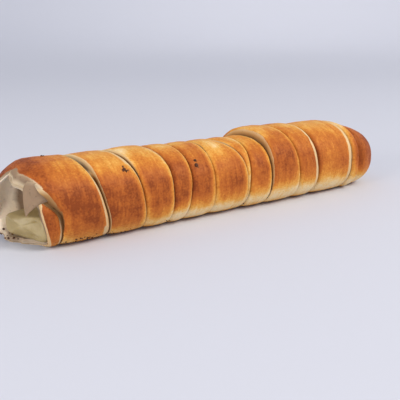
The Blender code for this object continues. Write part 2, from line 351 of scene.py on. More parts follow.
@dataclass(frozen=True)
class BrownedCrust:
    """Baked wheat dough: pale and matt where it is bare, golden to red-brown where it browned, both with
    painted shade in grooves, furrows and recesses.
    """

    browns: Stops = (
        (0.0, "#F1D9AC"), (0.18, "#EDC583"), (0.34, "#E3A952"), (0.5, "#D68D3B"),
        (0.66, "#C2722F"), (0.84, "#AC5C27"), (1.0, "#89431E"),
    )
    # Bare dough: floury near 0 and cream near 0.5; the grey near 0.25 and the browns towards 1 mostly stand
    # for painted shade.
    doughs: Stops = (
        (0.05, "#F8E6CB"), (0.17, "#988068"), (0.29, "#988068"), (0.38, "#CFBB9C"),
        (0.52, "#E6C898"), (0.75, "#BE935F"), (1.0, "#74502F"),
    )
    clouds: Pattern = Pattern(13.0, 3.0, 0.24)  # patches that browned sooner
    toasting: Pattern = Pattern(4.0, 6.0, 0.14)  # blotches with crisp edges
    mottle: Pattern = Pattern(1.1, 4.0, 0.2)  # fine blisters
    flour: Pattern = Pattern(0.7, 2.0)
    streak_length: float = 15.0  # along the strip, where the dough was stretched
    streak_width: float = 1.8
    streak_detail: float = 3.0
    streak_bend: float = 0.6
    streak_swing: float = 0.18
    dough_swing: float = 0.05
    fraying: float = 0.1  # of the edge between crust and bare dough
    bare_edge: tuple[float, float] = (0.42, 0.62)
    pore_spacing: float = 2.6
    pore_edge: tuple[float, float] = (0.1, 0.22)  # as shares of that spacing
    pore_shade: float = 0.82
    satin: tuple[float, float] = (0.44, 0.6)  # the crust's roughness
    chalk: float = 0.85  # and bare dough's
    gloss: float = 0.12
    grain_strength: float = 0.45
    grain_height: float = 0.3

    def material(self) -> bpy.types.Material:
        """Makes the material, which reads the attributes for browning, bare dough, stain with painted shade,
        and place on the strip.

        Returns:
            The material.
        """
        # A satin crust whose colour shifts in soft clouds, with fine darker pores, next to bare
        # dough that scatters light and looks chalky.
        rule = SurfaceRule("browned wheat crust")
        bake, bare, stain = (
            rule.add("ShaderNodeAttribute", attribute_name=name).outputs["Fac"]
            for name in ("bake", "bare", "stain")
        )
        strip = rule.add("ShaderNodeAttribute", attribute_name="strip_place").outputs["Vector"]
        clouds, toasting, mottle, flour = (
            rule.add("ShaderNodeTexNoise", pattern.inputs(rule.place))
            for pattern in (self.clouds, self.toasting, self.mottle, self.flour)
        )
        waves = (1 / (self.streak_length * MM), 1 / (self.streak_width * MM), 1.0)
        drawn = rule.add("ShaderNodeMapping", {"Vector": strip, "Scale": waves})
        streaks = rule.add(
            "ShaderNodeTexNoise",
            {"Vector": drawn, "Scale": 1.0, "Detail": self.streak_detail, "Distortion": self.streak_bend},
        )
        browned = bake
        for pattern, swing in (
            (clouds, self.clouds.swing),
            (toasting, self.toasting.swing),
            (streaks, self.streak_swing),
            (mottle, self.mottle.swing),
        ):
            shift = rule.add("ShaderNodeMapRange", {0: pattern, **WIDE, 3: -swing / 2, 4: swing / 2})
            browned = rule.add("ShaderNodeMath", {0: browned, 1: shift}, operation="ADD")
        brown = set_ramp(rule.add("ShaderNodeValToRGB", {"Fac": browned}), self.browns)
        uneven, frayed = (
            rule.add("ShaderNodeMapRange", {0: pattern, **span, 3: -swing, 4: swing})
            for pattern, span, swing in ((clouds, WIDE, self.dough_swing), (mottle, NARROW, self.fraying))
        )
        # The dough ramp's grey and browns here carry painted shade as well as stain.
        stained = rule.add("ShaderNodeMath", {0: stain, 1: uneven}, operation="ADD")
        dough = set_ramp(rule.add("ShaderNodeValToRGB", {"Fac": stained}), self.doughs)

        edge = rule.add("ShaderNodeMath", {0: bare, 1: frayed}, operation="ADD")
        shows = rule.add(
            "ShaderNodeMapRange",
            {0: edge, 1: self.bare_edge[0], 2: self.bare_edge[1]},
            interpolation_type="SMOOTHSTEP",
        )
        mixed = rule.add("ShaderNodeMix", {0: shows, 6: brown, 7: dough}, data_type="RGBA")
        cells = rule.add(
            "ShaderNodeTexVoronoi",
            {"Vector": rule.place, "Scale": 1 / (self.pore_spacing * MM), "Randomness": 1.0},
        )
        pores = rule.add(
            "ShaderNodeMapRange",
            {0: cells, 1: self.pore_edge[0], 2: self.pore_edge[1], 3: self.pore_shade, 4: 1.0},
            interpolation_type="SMOOTHSTEP",
        )
        smooth, rough = self.satin
        satin = rule.add("ShaderNodeMapRange", {0: mottle, **NARROW, 3: smooth, 4: rough})
        grain = rule.add("ShaderNodeMath", {0: mottle, 1: flour}, operation="ADD")
        return rule.finish({
            "Base Color": rule.add("ShaderNodeVectorMath", {0: mixed, 1: pores}, operation="MULTIPLY"),
            "Roughness": rule.add("ShaderNodeMix", {0: shows, 2: satin, 3: self.chalk}),
            "Normal": rule.add(
                "ShaderNodeBump",
                {"Height": grain, "Strength": self.grain_strength, "Distance": self.grain_height * MM},
            ),
            "Specular IOR Level": self.gloss,
            "Subsurface Weight": 0.08,
            "Subsurface Radius": (1.0, 0.5, 0.25),
            "Subsurface Scale": 1.2 * MM,
        })


@dataclass(frozen=True)
class WarmHalloumi:
    """Halloumi warm from the oven: pale yellow-green, softly translucent and a little moist."""

    creams: Stops = ((0.25, "#9A8656"), (0.5, "#AC9868"), (0.75, "#BFAE83"))
    clouds: Pattern = Pattern(7.0, 3.0)
    curd: Pattern = Pattern(1.1, 3.0)
    moisture: tuple[float, float] = (0.3, 0.5)  # its roughness, from wet to dry

    def material(self) -> bpy.types.Material:
        """Makes the material.

        Returns:
            The material.
        """
        # Dense pressed curd: light goes a little way in, and a film of whey gives soft highlights.
        rule = SurfaceRule("warm halloumi")
        clouds = rule.add("ShaderNodeTexNoise", self.clouds.inputs(rule.place))
        curd = rule.add("ShaderNodeTexNoise", self.curd.inputs(rule.place))
        wet, dry = self.moisture
        return rule.finish({
            "Base Color": set_ramp(rule.add("ShaderNodeValToRGB", {"Fac": clouds}), self.creams),
            "Roughness": rule.add("ShaderNodeMapRange", {0: clouds, **NARROW, 3: wet, 4: dry}),
            "Normal": rule.add("ShaderNodeBump", {"Height": curd, "Strength": 0.3, "Distance": 0.3 * MM}),
            "Subsurface Weight": 0.3,
            "Subsurface Radius": (1.0, 0.8, 0.4),
            "Subsurface Scale": 2.5 * MM,
        })


@dataclass(frozen=True)
class ToastedCrumb:
    """Loose crumbs that toasted dark in the oven."""

    tones: Stops = ((0.3, "#2E190F"), (0.55, "#59311A"), (0.78, "#A87440"))
    patches: Pattern = Pattern(3.0, 2.0)

    def material(self) -> bpy.types.Material:
        """Makes the material.

        Returns:
            The material.
        """
        # Dry and matt, from nearly black to tan.
        rule = SurfaceRule("toasted crumb")
        patches = rule.add("ShaderNodeTexNoise", self.patches.inputs(rule.place))
        tone = set_ramp(rule.add("ShaderNodeValToRGB", {"Fac": patches}), self.tones)
        return rule.finish({"Base Color": tone, "Roughness": 0.85})


@dataclass(frozen=True)
class StudioPaper:
    """Matt pale paper under and behind the roll."""

    colour: str = "#D3D7E4"
    fibre: Pattern = Pattern(4.0, 2.0)

    def material(self) -> bpy.types.Material:
        """Makes the material.

        Returns:
            The material.
        """
        # Even and without gloss; its faint fibres only keep it from looking like plastic.
        rule = SurfaceRule("matt paper")
        fibre = rule.add("ShaderNodeTexNoise", self.fibre.inputs(rule.place))
        return rule.finish({
            "Base Color": linear(self.colour),
            "Roughness": 0.9,
            "Specular IOR Level": 0.1,
            "Normal": rule.add("ShaderNodeBump", {"Height": fibre, "Strength": 0.02, "Distance": MM}),
        })


# ---- The shape of the strip -----------------------------------------------------------------

# A value at four places round the front: on the crest, a sixth and a third round, and at the foot
Around = tuple[float, float, float, float]


class Groove(NamedTuple):
    """The section of the groove between two turns."""

    depth: float  # below the lower of the two turns beside it
    gap: float  # width of its floor
    left_round: float  # width over which the turn on its left rounds down to it
    right_round: float  # the same for the turn on its right


class Seam(NamedTuple):
    """One pass of the seam between two turns."""

    x: Around
    crest: Groove  # its groove on top of the roll
    belly: Groove  # and down its side
    bare_left: Around  # width of bare dough on the turn to its left
    bare_right: Around  # and on the turn to its right


SEAMS = (
    Seam(
        (-88.2, -82.6, -77.4, -74.0), Groove(4.0, 2.8, 1.3, 1.2), Groove(2.6, 0.3, 2.4, 1.4),
        (0.9, 1.7, 2.4, 3.0), (1.4, 0.6, 0.6, 0.8),
    ),
    Seam(
        (-65.0, -59.5, -56.0, -53.0), Groove(1.6, 0.6, 2.0, 2.0), Groove(1.6, 0.2, 1.8, 2.0),
        (4.0, 0.9, 0.5, 2.0), (1.6, 0.3, 0.0, 0.5),
    ),
    Seam(
        (-44.0, -40.0, -39.5, -39.0), Groove(1.4, 0.3, 1.8, 2.8), Groove(1.6, 0.2, 1.4, 2.8),
        (2.0, 0.6, 0.6, 1.4), (1.0, 0.0, 0.0, 0.0),
    ),
    Seam(
        (-28.5, -27.5, -29.0, -30.0), Groove(1.4, 0.3, 1.6, 2.8), Groove(1.6, 0.2, 1.4, 2.8),
        (1.2, 0.6, 0.6, 1.4), (0.4, 0.0, 0.0, 0.0),
    ),
    Seam(
        (-12.0, -12.5, -12.0, -11.0), Groove(0.8, 0.2, 2.0, 3.0), Groove(1.3, 0.2, 1.4, 2.8),
        (1.0, 0.4, 0.5, 1.8), (0.6, 0.0, 0.0, 0.0),
    ),
    Seam(
        (2.0, 9.6, 10.8, 10.9), Groove(1.4, 0.3, 2.0, 2.4), Groove(1.2, 0.2, 1.2, 1.6),
        (2.0, 0.8, 0.6, 1.2), (1.0, 0.0, 0.0, 0.0),
    ),
    Seam(
        (15.2, 13.4, 12.4, 12.4), Groove(1.3, 0.3, 1.4, 2.4), Groove(1.6, 0.2, 1.4, 2.4),
        (0.7, 0.5, 0.6, 1.4), (0.0, 0.0, 0.0, 0.0),
    ),
    Seam(
        (26.0, 27.2, 27.8, 29.5), Groove(1.4, 0.6, 1.2, 1.0), Groove(1.8, 0.3, 1.4, 1.4),
        (0.4, 0.5, 0.8, 1.6), (0.5, 0.45, 0.3, 0.2),
    ),
    Seam(
        (43.0, 46.0, 49.0, 52.0), Groove(1.4, 0.3, 1.6, 2.6), Groove(1.6, 0.2, 1.4, 2.8),
        (0.6, 0.5, 0.6, 1.4), (0.0, 0.0, 0.0, 0.0),
    ),
    Seam(
        (61.0, 62.6, 65.2, 66.2), Groove(2.0, 0.6, 3.0, 2.0), Groove(2.6, 0.5, 3.2, 2.0),
        (3.0, 3.5, 3.7, 3.0), (0.6, 0.2, 0.2, 0.2),
    ),
    Seam(
        (91.5, 92.5, 93.0, 93.5), Groove(1.2, 0.3, 2.4, 2.0), Groove(1.5, 0.3, 2.6, 2.0),
        (3.0, 3.2, 3.0, 2.6), (0.6, 0.5, 0.4, 0.4),
    ),
    Seam(
        (98.0, 101.0, 102.0, 101.5), Groove(0.6, 0.3, 3.4, 5.0), Groove(3.4, 0.3, 3.4, 5.0),
        (0.0, 0.0, 0.0, 0.4), (0.0, 0.0, 0.0, 0.0),
    ),
    Seam(
        (112.0, 114.0, 115.0, 116.0), Groove(0.0, 0.3, 2.5, 2.5), Groove(0.0, 0.3, 2.5, 2.5),
        (0.0, 0.0, 0.0, 0.3), (0.0, 0.0, 0.0, 0.0),
    ),
)
CREST_AT = 0.07  # where along a turn the grooves' two sections hold
BELLY_AT = (0.2, 0.55)


class Smear(NamedTuple):
    """A soft pale patch where the next turn covered the dough for part of the baking."""

    x: float
    y: float
    along: float  # half its length along the roll
    across: float  # half its width round it
    share: float  # how much of the browning is missing at its middle


SMEARS = (
    Smear(-5.0, -8.0, 5.0, 11.0, 0.62),
    Smear(-60.5, -3.0, 2.6, 8.0, 0.75),
    Smear(31.0, -6.0, 2.4, 9.0, 0.25),
    Smear(78.0, -4.0, 9.0, 7.0, 0.25),
    Smear(54.0, -3.0, 6.0, 8.0, 0.3),
    Smear(94.0, -6.0, 5.0, 10.0, 0.5),
    Smear(13.0, -2.0, 5.0, 9.0, 0.4),
    Smear(-37.0, -2.0, 5.0, 9.0, 0.4),
    Smear(-24.0, 0.0, 5.0, 8.0, 0.35),
)


class Looks(NamedTuple):
    """What the relief, the crumbs and the material read at each point."""

    bake: Any  # how brown the crust is: 0 raw, 1 dark; also painted shade in furrows, along the base and beside grooves
    bare: Any  # 1 where bare dough shows
    stain: Any  # how brown bare dough is: 0 floury, 0.5 cream, 1 brown; the grey near 0.25 and the browns are mostly painted shade
    along: Any  # millimetres along the strip
    across: Any  # millimetres across it
    relief: Any  # share of the dough's wrinkles
    crumbs: Any  # how thickly crumbs lie

    @classmethod
    def like(cls, x: np.ndarray, **given: Any) -> "Looks":
        """Looks that are 0 but for what is given.

        Args:
            x: a number for each point.
            given: the looks that aren't 0.

        Returns:
            The looks.
        """
        return cls(*(np.zeros_like(x) + given.get(name, 0.0) for name in cls._fields))


class Spots(NamedTuple):
    """Points on the skin, and where they lie on the strip."""

    points: np.ndarray
    wound: Any  # turns along the strip
    left: Any  # from the turn's left foot
    right: Any  # from its right foot
    arch: Any  # how far they have risen out of the seam, up to 1


@dataclass(frozen=True)
class StripShape:
    """The rule that places the wound strip and its seams."""

    half_length: float = 125.0
    height_share: float = 0.87  # of its width
    squareness: float = 2.3  # 2 is round
    base_flat: float = 0.8  # how far it has settled into its flat base
    underside_press: float = 0.7  # how far its grooves have closed there
    crown: float = 0.7  # how much higher a turn is in its middle
    crown_fades: Fade = Fade(99.0, 107.0)
    seams_soften: Fade = Fade(96.0, 100.0)
    full_turn_width: float = 6.0
    narrowest_turn: float = 0.01
    widest_rise: float = 0.45
    undercut_power: float = 1.5
    far_end_start: float = 94.0
    far_end_tip: float = 125.3
    far_end_power: float = 2.4
    far_end_centre: float = 17.6
    far_end_dimple: float = 1.2
    mouth_start: float = -109.0
    mouth_narrowing: float = 0.2
    mouth_power: float = 2.0
    mouth_edge_end: float = 0.95
    lip_round: float = 2.0
    lip_raggedness: float = 1.1
    lip_tears: tuple[float, float] = (9.0, 46.0)  # seed, and how many a turn
    lower_lip: Band = Band(0.42, 0.5, 0.8, 0.88)
    columns: int = 240
    rise_steps: tuple[float, ...] = (0.0, 0.04, 0.14, 0.3, 0.5, 0.74, 1.0)
    crown_rows: int = 9

    mouth_edge: Points = (
        (0, -120.8), (18, -121.2), (27, -119.8), (45, -116.6), (55, -114.2), (66, -112.6),
        (80, -112.0), (95, -111.2), (120, -110.0), (150, -108.6), (164, -109.6), (184, -117.0),
        (207, -122.8), (240, -124.6), (290, -125.0), (330, -124.8), (344, -123.6),
    )
    first_edge: Points = (
        (0, -120.3), (8, -120.0), (18, -120.7), (27, -119.3), (36, -117.6), (45, -115.4), (53, -113.3),
        (61, -110.5), (67, -108.7), (74, -106.5), (81, -104.7), (87, -103.5), (101, -102.6),
        (116, -102.4), (130, -102.3), (180, -101.0),
    )
    # The groove along the first edge, where the tail has pulled away from the first turn
    edge_grooves: tuple[tuple[float, Groove], ...] = (
        (0, Groove(0.8, 0.1, 1.6, 1.6)), (40, Groove(1.2, 0.4, 1.0, 1.0)),
        (61, Groove(1.2, 0.6, 0.7, 0.8)), (74, Groove(1.3, 0.4, 0.9, 0.8)),
        (90, Groove(0.9, 0.3, 1.3, 0.8)), (106, Groove(0.8, 0.2, 1.3, 1.0)),
        (120, Groove(1.0, 0.1, 1.2, 1.2)), (180, Groove(1.4, 0.3, 1.4, 1.4)),
    )
    # How far a turn's left edge overhangs the groove beside it
    undercuts: Points = ((0, 0.0), (1.06, 0.0), (1.13, 1.4), (1.24, 1.3), (1.3, 0.6), (1.35, 0.0), (15, 0.0))
    half_widths: Points = (
        (0.0, 24.6), (0.08, 23.4), (0.17, 21.2), (0.25, 21.0), (0.32, 22.0), (0.4, 23.6), (0.5, 24.2),
        (0.75, 24.8), (1.0, 25.3), (1.5, 25.0), (3.0, 24.8), (4.0, 24.3), (6.0, 23.8), (8.0, 23.6),
        (8.35, 24.8), (9.0, 26.3), (10.0, 26.0), (11.0, 25.4), (12.0, 24.6), (13.0, 23.7),
        (15.0, 23.7),
    )

    @property
    def turns(self) -> int:
        """How many turns the strip makes, counting the tail."""
        return len(SEAMS) + 2

    def angles(self) -> np.ndarray:
        """The angle of each column of points, from the top over the front."""
        return np.arange(self.columns) * FULL_TURN / self.columns

    def along_seam(self, before: Points, at: Callable[[Seam], Points], last: float, wound: Any) -> Any:
        """Reads a value that changes along the seam.

        Args:
            before: its points up to the first seam.
            at: gives its points round one seam.
            last: its value at the far ring.
            wound: where along the seam.

        Returns:
            The value there.
        """
        points = list(before)
        for turn, seam in enumerate(SEAMS, start=2):
            points += [(turn + place, value) for place, value in at(seam)]
        return smooth_through(points + [(self.turns, last), (self.turns + 1, last)], wound)

    def seam_x(self, wound: Any) -> Any:
        """x of the seam, from the mouth's edge to the ring that ends the last turn.

        Args:
            wound: where along the seam.

        Returns:
            The x there.
        """
        before = in_turns(self.mouth_edge, self.first_edge)
        x = self.along_seam(before, lambda seam: in_sixths(seam.x), self.half_length, wound)
        seed, tears = self.lip_tears
        torn = self.lip_raggedness * ripple(seed, wound * tears, 1.0)
        return x + self.lower_lip.share(wound) * (torn + self.lip_raggedness / 2)

    def groove_measure(self, name: str, at_ends: tuple[float, float], wound: Any) -> Any:
        """Reads a measure of the groove.

        Args:
            name: the measure's name in Groove.
            at_ends: its value at the mouth and at the far ring.
            wound: where along the seam.

        Returns:
            The measure there.
        """
        before = [(0.0, at_ends[0]), (self.mouth_edge_end, at_ends[0])]
        before += [(1 + degrees / 360, getattr(groove, name)) for degrees, groove in self.edge_grooves]

        def at(seam: Seam) -> Points:
            """The measure on the crest and down the side of one seam."""
            side = [(place, getattr(seam.belly, name)) for place in BELLY_AT]
            return [(CREST_AT, getattr(seam.crest, name)), *side]

        return self.along_seam(before, at, at_ends[1], wound)

    def half_width(self, wound: Any) -> Any:
        """Half the roll's width where the strip has been wound this far."""
        return smooth_through(self.half_widths, np.clip(wound, 0, self.turns))

    def far_share(self, x: Any) -> Any:
        """0 along the roll, rising to 1 over the closed end."""
        return np.clip((x - self.far_end_start) / (self.far_end_tip - self.far_end_start), 0, 1)

    def far_taper(self, x: Any) -> Any:
        """How much the roll narrows over its closed end."""
        return (1 - self.far_share(x) ** self.far_end_power) ** (1 / self.far_end_power)

    def mouth_taper(self, x: Any) -> Any:
        """How much the roll narrows towards its open end."""
        near = np.clip((self.mouth_start - x) / (self.half_length + self.mouth_start), 0, 1)
        return 1 - self.mouth_narrowing * near**self.mouth_power

    def skin_points(self, x: Any, radius: Any, crest: Any, angle: Any) -> np.ndarray:
        """Places points on the skin.

        Args:
            x: their places along the roll.
            radius: half the width of the section that they lie on.
            crest: half the width of the dough there, which sets how high the section sits.
            angle: their angles round it.

        Returns:
            The points, one a row.
        """
        side, up = np.sin(angle), np.cos(angle)
        unit = (abs(side) ** self.squareness + abs(up) ** self.squareness) ** (-1 / self.squareness)
        resting = self.height_share * crest * self.mouth_taper(x) - self.base_flat
        centre = resting + (self.far_end_centre - resting) * self.far_share(x)
        reach = radius * self.mouth_taper(x) * self.far_taper(x)
        z = np.maximum(centre + self.height_share * unit * up * reach, 0)
        return np.stack([x, -unit * side * reach, z], axis=-1)

    def lower_crest(self, wound: Any) -> Any:
        """Half width of the lower of the two turns beside the seam.

        Args:
            wound: where along the seam.

        Returns:
            The half width.
        """
        before, after = self.half_width(wound - 1), self.half_width(wound)
        before = np.where(wound < 1, after, before)
        after = np.where(wound > self.turns, before, after)
        return np.minimum(before, after)

    def turn_foot(self, wound: Any, side: int) -> tuple[Any, Any, Any, Any]:
        """One foot of a turn, down in the seam.

        Args:
            wound: where along the seam.
            side: -1 for the turn's left foot, 1 for its right.

        Returns:
            Its x, its depth, the crest that the depth is taken from, and the width of the rise.
        """
        x = self.seam_x(wound) - side * self.groove_measure("gap", (0.0, 0.0), wound) / 2
        under = np.clip(-np.cos(FULL_TURN * wound), 0, 1)
        pressed = 1 - self.underside_press * under * (2 - under)
        depth = self.groove_measure("depth", (self.lip_round, 0.0), wound) * pressed
        rounding = "left_round" if side > 0 else "right_round"
        rise = self.groove_measure(rounding, (self.lip_round, self.lip_round), wound)
        return x, depth, self.lower_crest(wound), rise

    def turn_rows(self, turn: int) -> list[Spots]:
        """The rows of points across one turn of the strip, from its left foot to its right.

        Args:
            turn: 0 for the tail, and so on to the closed end.

        Returns:
            The rows.
        """
        angle = self.angles()
        wound = turn + angle / FULL_TURN
        crest = self.half_width(wound)
        x_left, depth_left, low_left, rise_left = self.turn_foot(wound, -1)
        x_right, depth_right, low_right, rise_right = self.turn_foot(wound + 1, 1)
        room = np.maximum(x_right - x_left, self.narrowest_turn)
        rise_left = np.minimum(rise_left, self.widest_rise * room)
        rise_right = np.minimum(rise_right, self.widest_rise * room)
        inner = room - rise_left - rise_right
        undercut = smooth_through(self.undercuts, wound)
        places = [x_left + step * rise_left for step in self.rise_steps]
        shares = np.arange(1, self.crown_rows + 1) / (self.crown_rows + 1)
        places += [x_left + rise_left + share * inner for share in shares]
        places += [x_right - step * rise_right for step in reversed(self.rise_steps)]
        rows = []
        for x in places:
            share = (x - x_left) / room
            low = low_left * (1 - share) + low_right * share
            floor = low - depth_left * (1 - share) - depth_right * share
            up_left = np.clip((x - x_left) / rise_left, 0, 1)
            up_right = np.clip((x_right - x) / rise_right, 0, 1)
            round_arch = np.sqrt(1 - (1 - up_left) ** 2) * np.sqrt(1 - (1 - up_right) ** 2)
            soft_arch = smooth_step(0.0, 1.0, up_left) * smooth_step(0.0, 1.0, up_right)
            arch = round_arch + (soft_arch - round_arch) * self.seams_soften.rise(x)
            arch = arch * np.minimum(room / self.full_turn_width, 1)
            crown = self.crown * self.crown_fades.fall(x)
            dome = crest + crown * (1 - (2 * share - 1) ** 2)
            radius = floor + (dome - floor) * arch
            hidden = undercut * (1 - arch) ** self.undercut_power * (share < 0.5)
            points = self.skin_points(x + hidden, radius, low + (crest - low) * arch, angle)
            rows.append(Spots(points, wound, x - x_left, x_right - x, arch))
        return rows


@dataclass(frozen=True)
class Baking:
    """How the oven coloured the strip, with painted shade in its grooves and furrows, and where bare dough
    and crumbs show on it.
    """

    # Pairs of fades go by x, or by the distance from a turn's left foot, and then by z
    strip: StripShape = field(default_factory=StripShape)
    darkest: float = 0.95
    pale_wave: Place = (3.0, 7.0, 9.0)  # seed, and its length along the roll and across
    right_margin: Fade = Fade(0.8, 4.5)
    right_pale: float = 0.5  # how much paler a turn is at its right edge
    tail_pale: float = 0.12  # and the tail
    left_margin: Fade = Fade(0.8, 4.0)
    crest_from: float = 20.0  # z above which smears and flecks lie
    # Darker towards the base, partly crust browned on the tray and partly painted shade.
    base_scorch: tuple[Fade, ...] = (Fade(0.6, 3.2, 0.3), Fade(1.0, 7.0, 0.2))
    # The closed end's upper furrows get painted shade, as darker crust.
    closed_end: Fade = Fade(94.5, 98.0)  # where a turn is as brown at its right edge as elsewhere
    furrows: Fade = Fade(12.0, 20.0, 0.28)  # and its upper furrows are darker
    # The dough browned most next to the open end, and its rim toasted, but the first turn's lip didn't
    hood: tuple[Fade, Fade] = (Fade(-113.0, -98.0, 0.34), Fade(22.0, 32.0))
    rim: tuple[Fade, Fade] = (Fade(0.6, 2.4, 0.3), Fade(26.0, 34.0))
    lip: Fade = Fade(1.5, 5.0)
    lip_pale: float = 0.18
    lip_ends: float = 1.4  # turns along the strip
    # Bare dough: how its width wavers (share, seed, waves a turn), and how softly it ends
    bare_waves: tuple[Place, ...] = ((0.2, 2.0, 9.0), (0.12, 5.0, 31.0))
    bare_fades: tuple[float, float] = (0.3, 0.4)
    narrow_bare: Fade = Fade(0.0, 0.5)
    # Bare dough in a groove gets painted shade, darker the deeper it lies but weaker at the open end, where
    # the dough is floury
    stain: float = 0.57
    floury: Fade = Fade(-118.0, -108.0, 0.24)
    sunk: Fade = Fade(0.15, 0.95)
    sunk_stain: float = 0.4
    sunk_floury: Fade = Fade(-104.0, -100.0, 0.75)
    parted: tuple[Fade, Fade] = (Fade(-94.0, -90.0), Fade(33.0, 38.0, 0.7))  # a pale gap
    parted_end: float = -74.0
    # The first turn's lip is painted darker below its top, as shade under its overhang.
    lip_low: Fade = Fade(28.0, 36.0, 0.28)
    lip_high: Fade = Fade(31.0, 35.0)
    lip_flour: float = 0.06
    tail_flour: float = 0.1
    # Wrinkles show where the dough has risen out of a seam or at the closed end, off the floor
    wrinkled: tuple[Fade, Fade, Fade] = (Fade(0.1, 0.9), Fade(104.0, 110.0), Fade(0.1, 3.0))
    few_crumbs: float = 0.1
    many_crumbs: float = 1.5
    littered: Band = Band(-110.0, -102.0, -82.0, -62.0)
    littered_foot: Band = Band(0.9, 1.6, 2.0, 6.5)
    flecks: Points = (
        (-103.2, 5.0), (-104.0, 3.4), (-67.4, -18.8), (-66.8, -19.6), (-23.9, -18.8), (-23.6, -20.6),
    )
    fleck: Fade = Fade(0.3, 1.1, 10.0)
    too_far: float = 9.0  # for a fleck to reach the underside

    # Bare dough along the mouth's edge, and on either side of the first edge
    mouth_bare: Points = (
        (0, 0.8), (20, 1.4), (50, 1.6), (62, 1.6), (74, 0.5), (95, 0.5), (120, 1.0), (140, 1.8),
        (165, 3.0), (200, 4.0), (280, 3.6), (315, 0.9), (340, 0.3),
    )
    tail_bare: Points = ((0, 0.4), (60, 0.6), (80, 0.4), (100, 1.0), (120, 1.3), (180, 1.6))
    turn_bare: Points = (
        (0, 1.4), (12, 2.4), (18, 2.2), (26, 1.6), (36, 1.6), (48, 1.1), (60, 0.6), (70, 0.4),
        (84, 0.3), (130, 0.3), (180, 0.8),
    )
    # The browning by height above the pale band at the base, and along the strip
    bake_heights: Points = (
        (-7.0, 0.02), (-2.0, 0.12), (0.0, 0.3), (2.5, 0.52), (6.0, 0.72), (12.0, 0.9), (19.0, 0.93),
        (24.0, 0.88), (29.0, 0.73), (34.0, 0.48), (40.0, 0.36),
    )
    bake_turns: Points = (
        (0.0, 1.05), (0.2, 0.98), (0.5, 0.98), (1.0, 1.6), (1.12, 1.36), (1.19, 1.14), (1.27, 0.98),
        (1.75, 0.96), (1.96, 1.3), (2.1, 1.1), (2.3, 1.04), (3.0, 0.95), (3.3, 1.0), (4.3, 1.12),
        (5.3, 0.92), (6.3, 0.94), (8.3, 0.87), (9.3, 0.96), (10.3, 0.88), (11.3, 0.78), (12.3, 0.94),
        (13.3, 1.02), (15.0, 1.05),
    )
    # And along the left edge of each turn, as a share of what it is elsewhere: below 1 a paler golden edge,
    # above 1 painted shade beside the groove
    left_margins: Points = (
        (0.0, 1.0), (2.2, 1.05), (3.2, 0.66), (4.2, 1.08), (5.2, 1.12), (6.2, 0.62), (7.2, 0.8),
        (8.2, 0.92), (9.05, 0.7), (9.3, 1.12), (10.2, 0.86), (11.2, 1.12), (12.2, 0.7), (13.2, 1.0),
        (15.0, 1.0),
    )
    pale_heights: Points = (
        (0.0, 2.0), (1.3, 3.4), (2.3, 4.6), (3.3, 7.0), (4.3, 9.4), (5.3, 9.6), (6.3, 8.6),
        (8.3, 10.2), (9.3, 12.6), (11.3, 10.8), (12.3, 9.2), (13.3, 8.6), (15.0, 9.2),
    )

    def looks(self, row: Spots) -> Looks:
        """How points on the skin look.

        Args:
            row: the points.

        Returns:
            Their looks.
        """
        x, _, z = row.points.T
        lip = self.lip.fall(row.left) * (row.wound > 1) * (row.wound < self.lip_ends)
        along = row.wound * FULL_TURN * self.strip.half_width(row.wound)
        risen, tip, foot = self.wrinkled
        relief = np.maximum(risen.rise(row.arch), tip.rise(x)) * foot.rise(z)
        bake, stain = self._bake(row, lip), self._stain(row, lip)
        return Looks(bake, self._bare(row), stain, along, x, relief, self._crumbs(row))

    def _bake(self, row: Spots, lip: Any) -> Any:
        """How brown the crust is, with painted shade in furrows, along the base and beside grooves.

        Args:
            row: the points.
            lip: 1 on the lip of the first turn.

        Returns:
            The browning and painted shade.
        """
        x, y, z = row.points.T
        paler = np.where(row.wound < 1, self.tail_pale, self.right_pale) * self.closed_end.fall(x)
        edge_right = 1 - paler * self.right_margin.fall(row.right)
        # Above 1, the left margin is painted shade beside the groove; below 1, a paler golden edge.
        edge_left = 1 + (smooth_through(self.left_margins, row.wound) - 1) * self.left_margin.fall(row.left)
        seed, along, across = self.pale_wave
        pale = smooth_through(self.pale_heights, row.wound) + ripple(seed, x / along, y / across)
        bake = smooth_through(self.bake_heights, z - pale) * smooth_through(self.bake_turns, row.wound)
        bake = bake * edge_right * edge_left
        for smear in SMEARS:
            away = ((x - smear.x) / smear.along) ** 2 + ((y - smear.y) / smear.across) ** 2
            bake = bake * (1 - smear.share * np.exp(-away) * (z > self.crest_from))
        # Painted shade: darker crust in the closed end's upper furrows; the base darkening below is partly
        # painted shade and partly browning on the tray.
        bake = bake + self.closed_end.rise(x) * (1 - row.arch) * self.furrows.rise(z)
        bake = bake + sum(scorch.fall(z) for scorch in self.base_scorch)
        hood = self.hood[0].fall(x) * self.hood[1].rise(z)
        rim = self.rim[0].fall(row.left) * (row.wound < 1) * self.rim[1].rise(z)
        return np.minimum(bake + hood + rim - self.lip_pale * lip, self.darkest)

    def _bare(self, row: Spots) -> Any:
        """Where bare dough shows beside the seams.

        Args:
            row: the points.

        Returns:
            1 where it shows.
        """
        wave = sum(share * ripple(seed, row.wound * waves, 1.0) for share, seed, waves in self.bare_waves)
        within, beyond = self.bare_fades
        bare = 0.0
        for side, wound, distance in ((1, row.wound, row.left), (0, row.wound + 1, row.right)):
            before = in_turns(self.mouth_bare, (self.tail_bare, self.turn_bare)[side])
            width = self.strip.along_seam(
                before, lambda seam: in_sixths((seam.bare_left, seam.bare_right)[side]), 0.0, wound
            )
            width = width * (1 + wave)
            shown = 1 - smooth_step(width - within, width + beyond, distance)
            bare = np.maximum(bare, shown * self.narrow_bare.rise(width))
        return bare

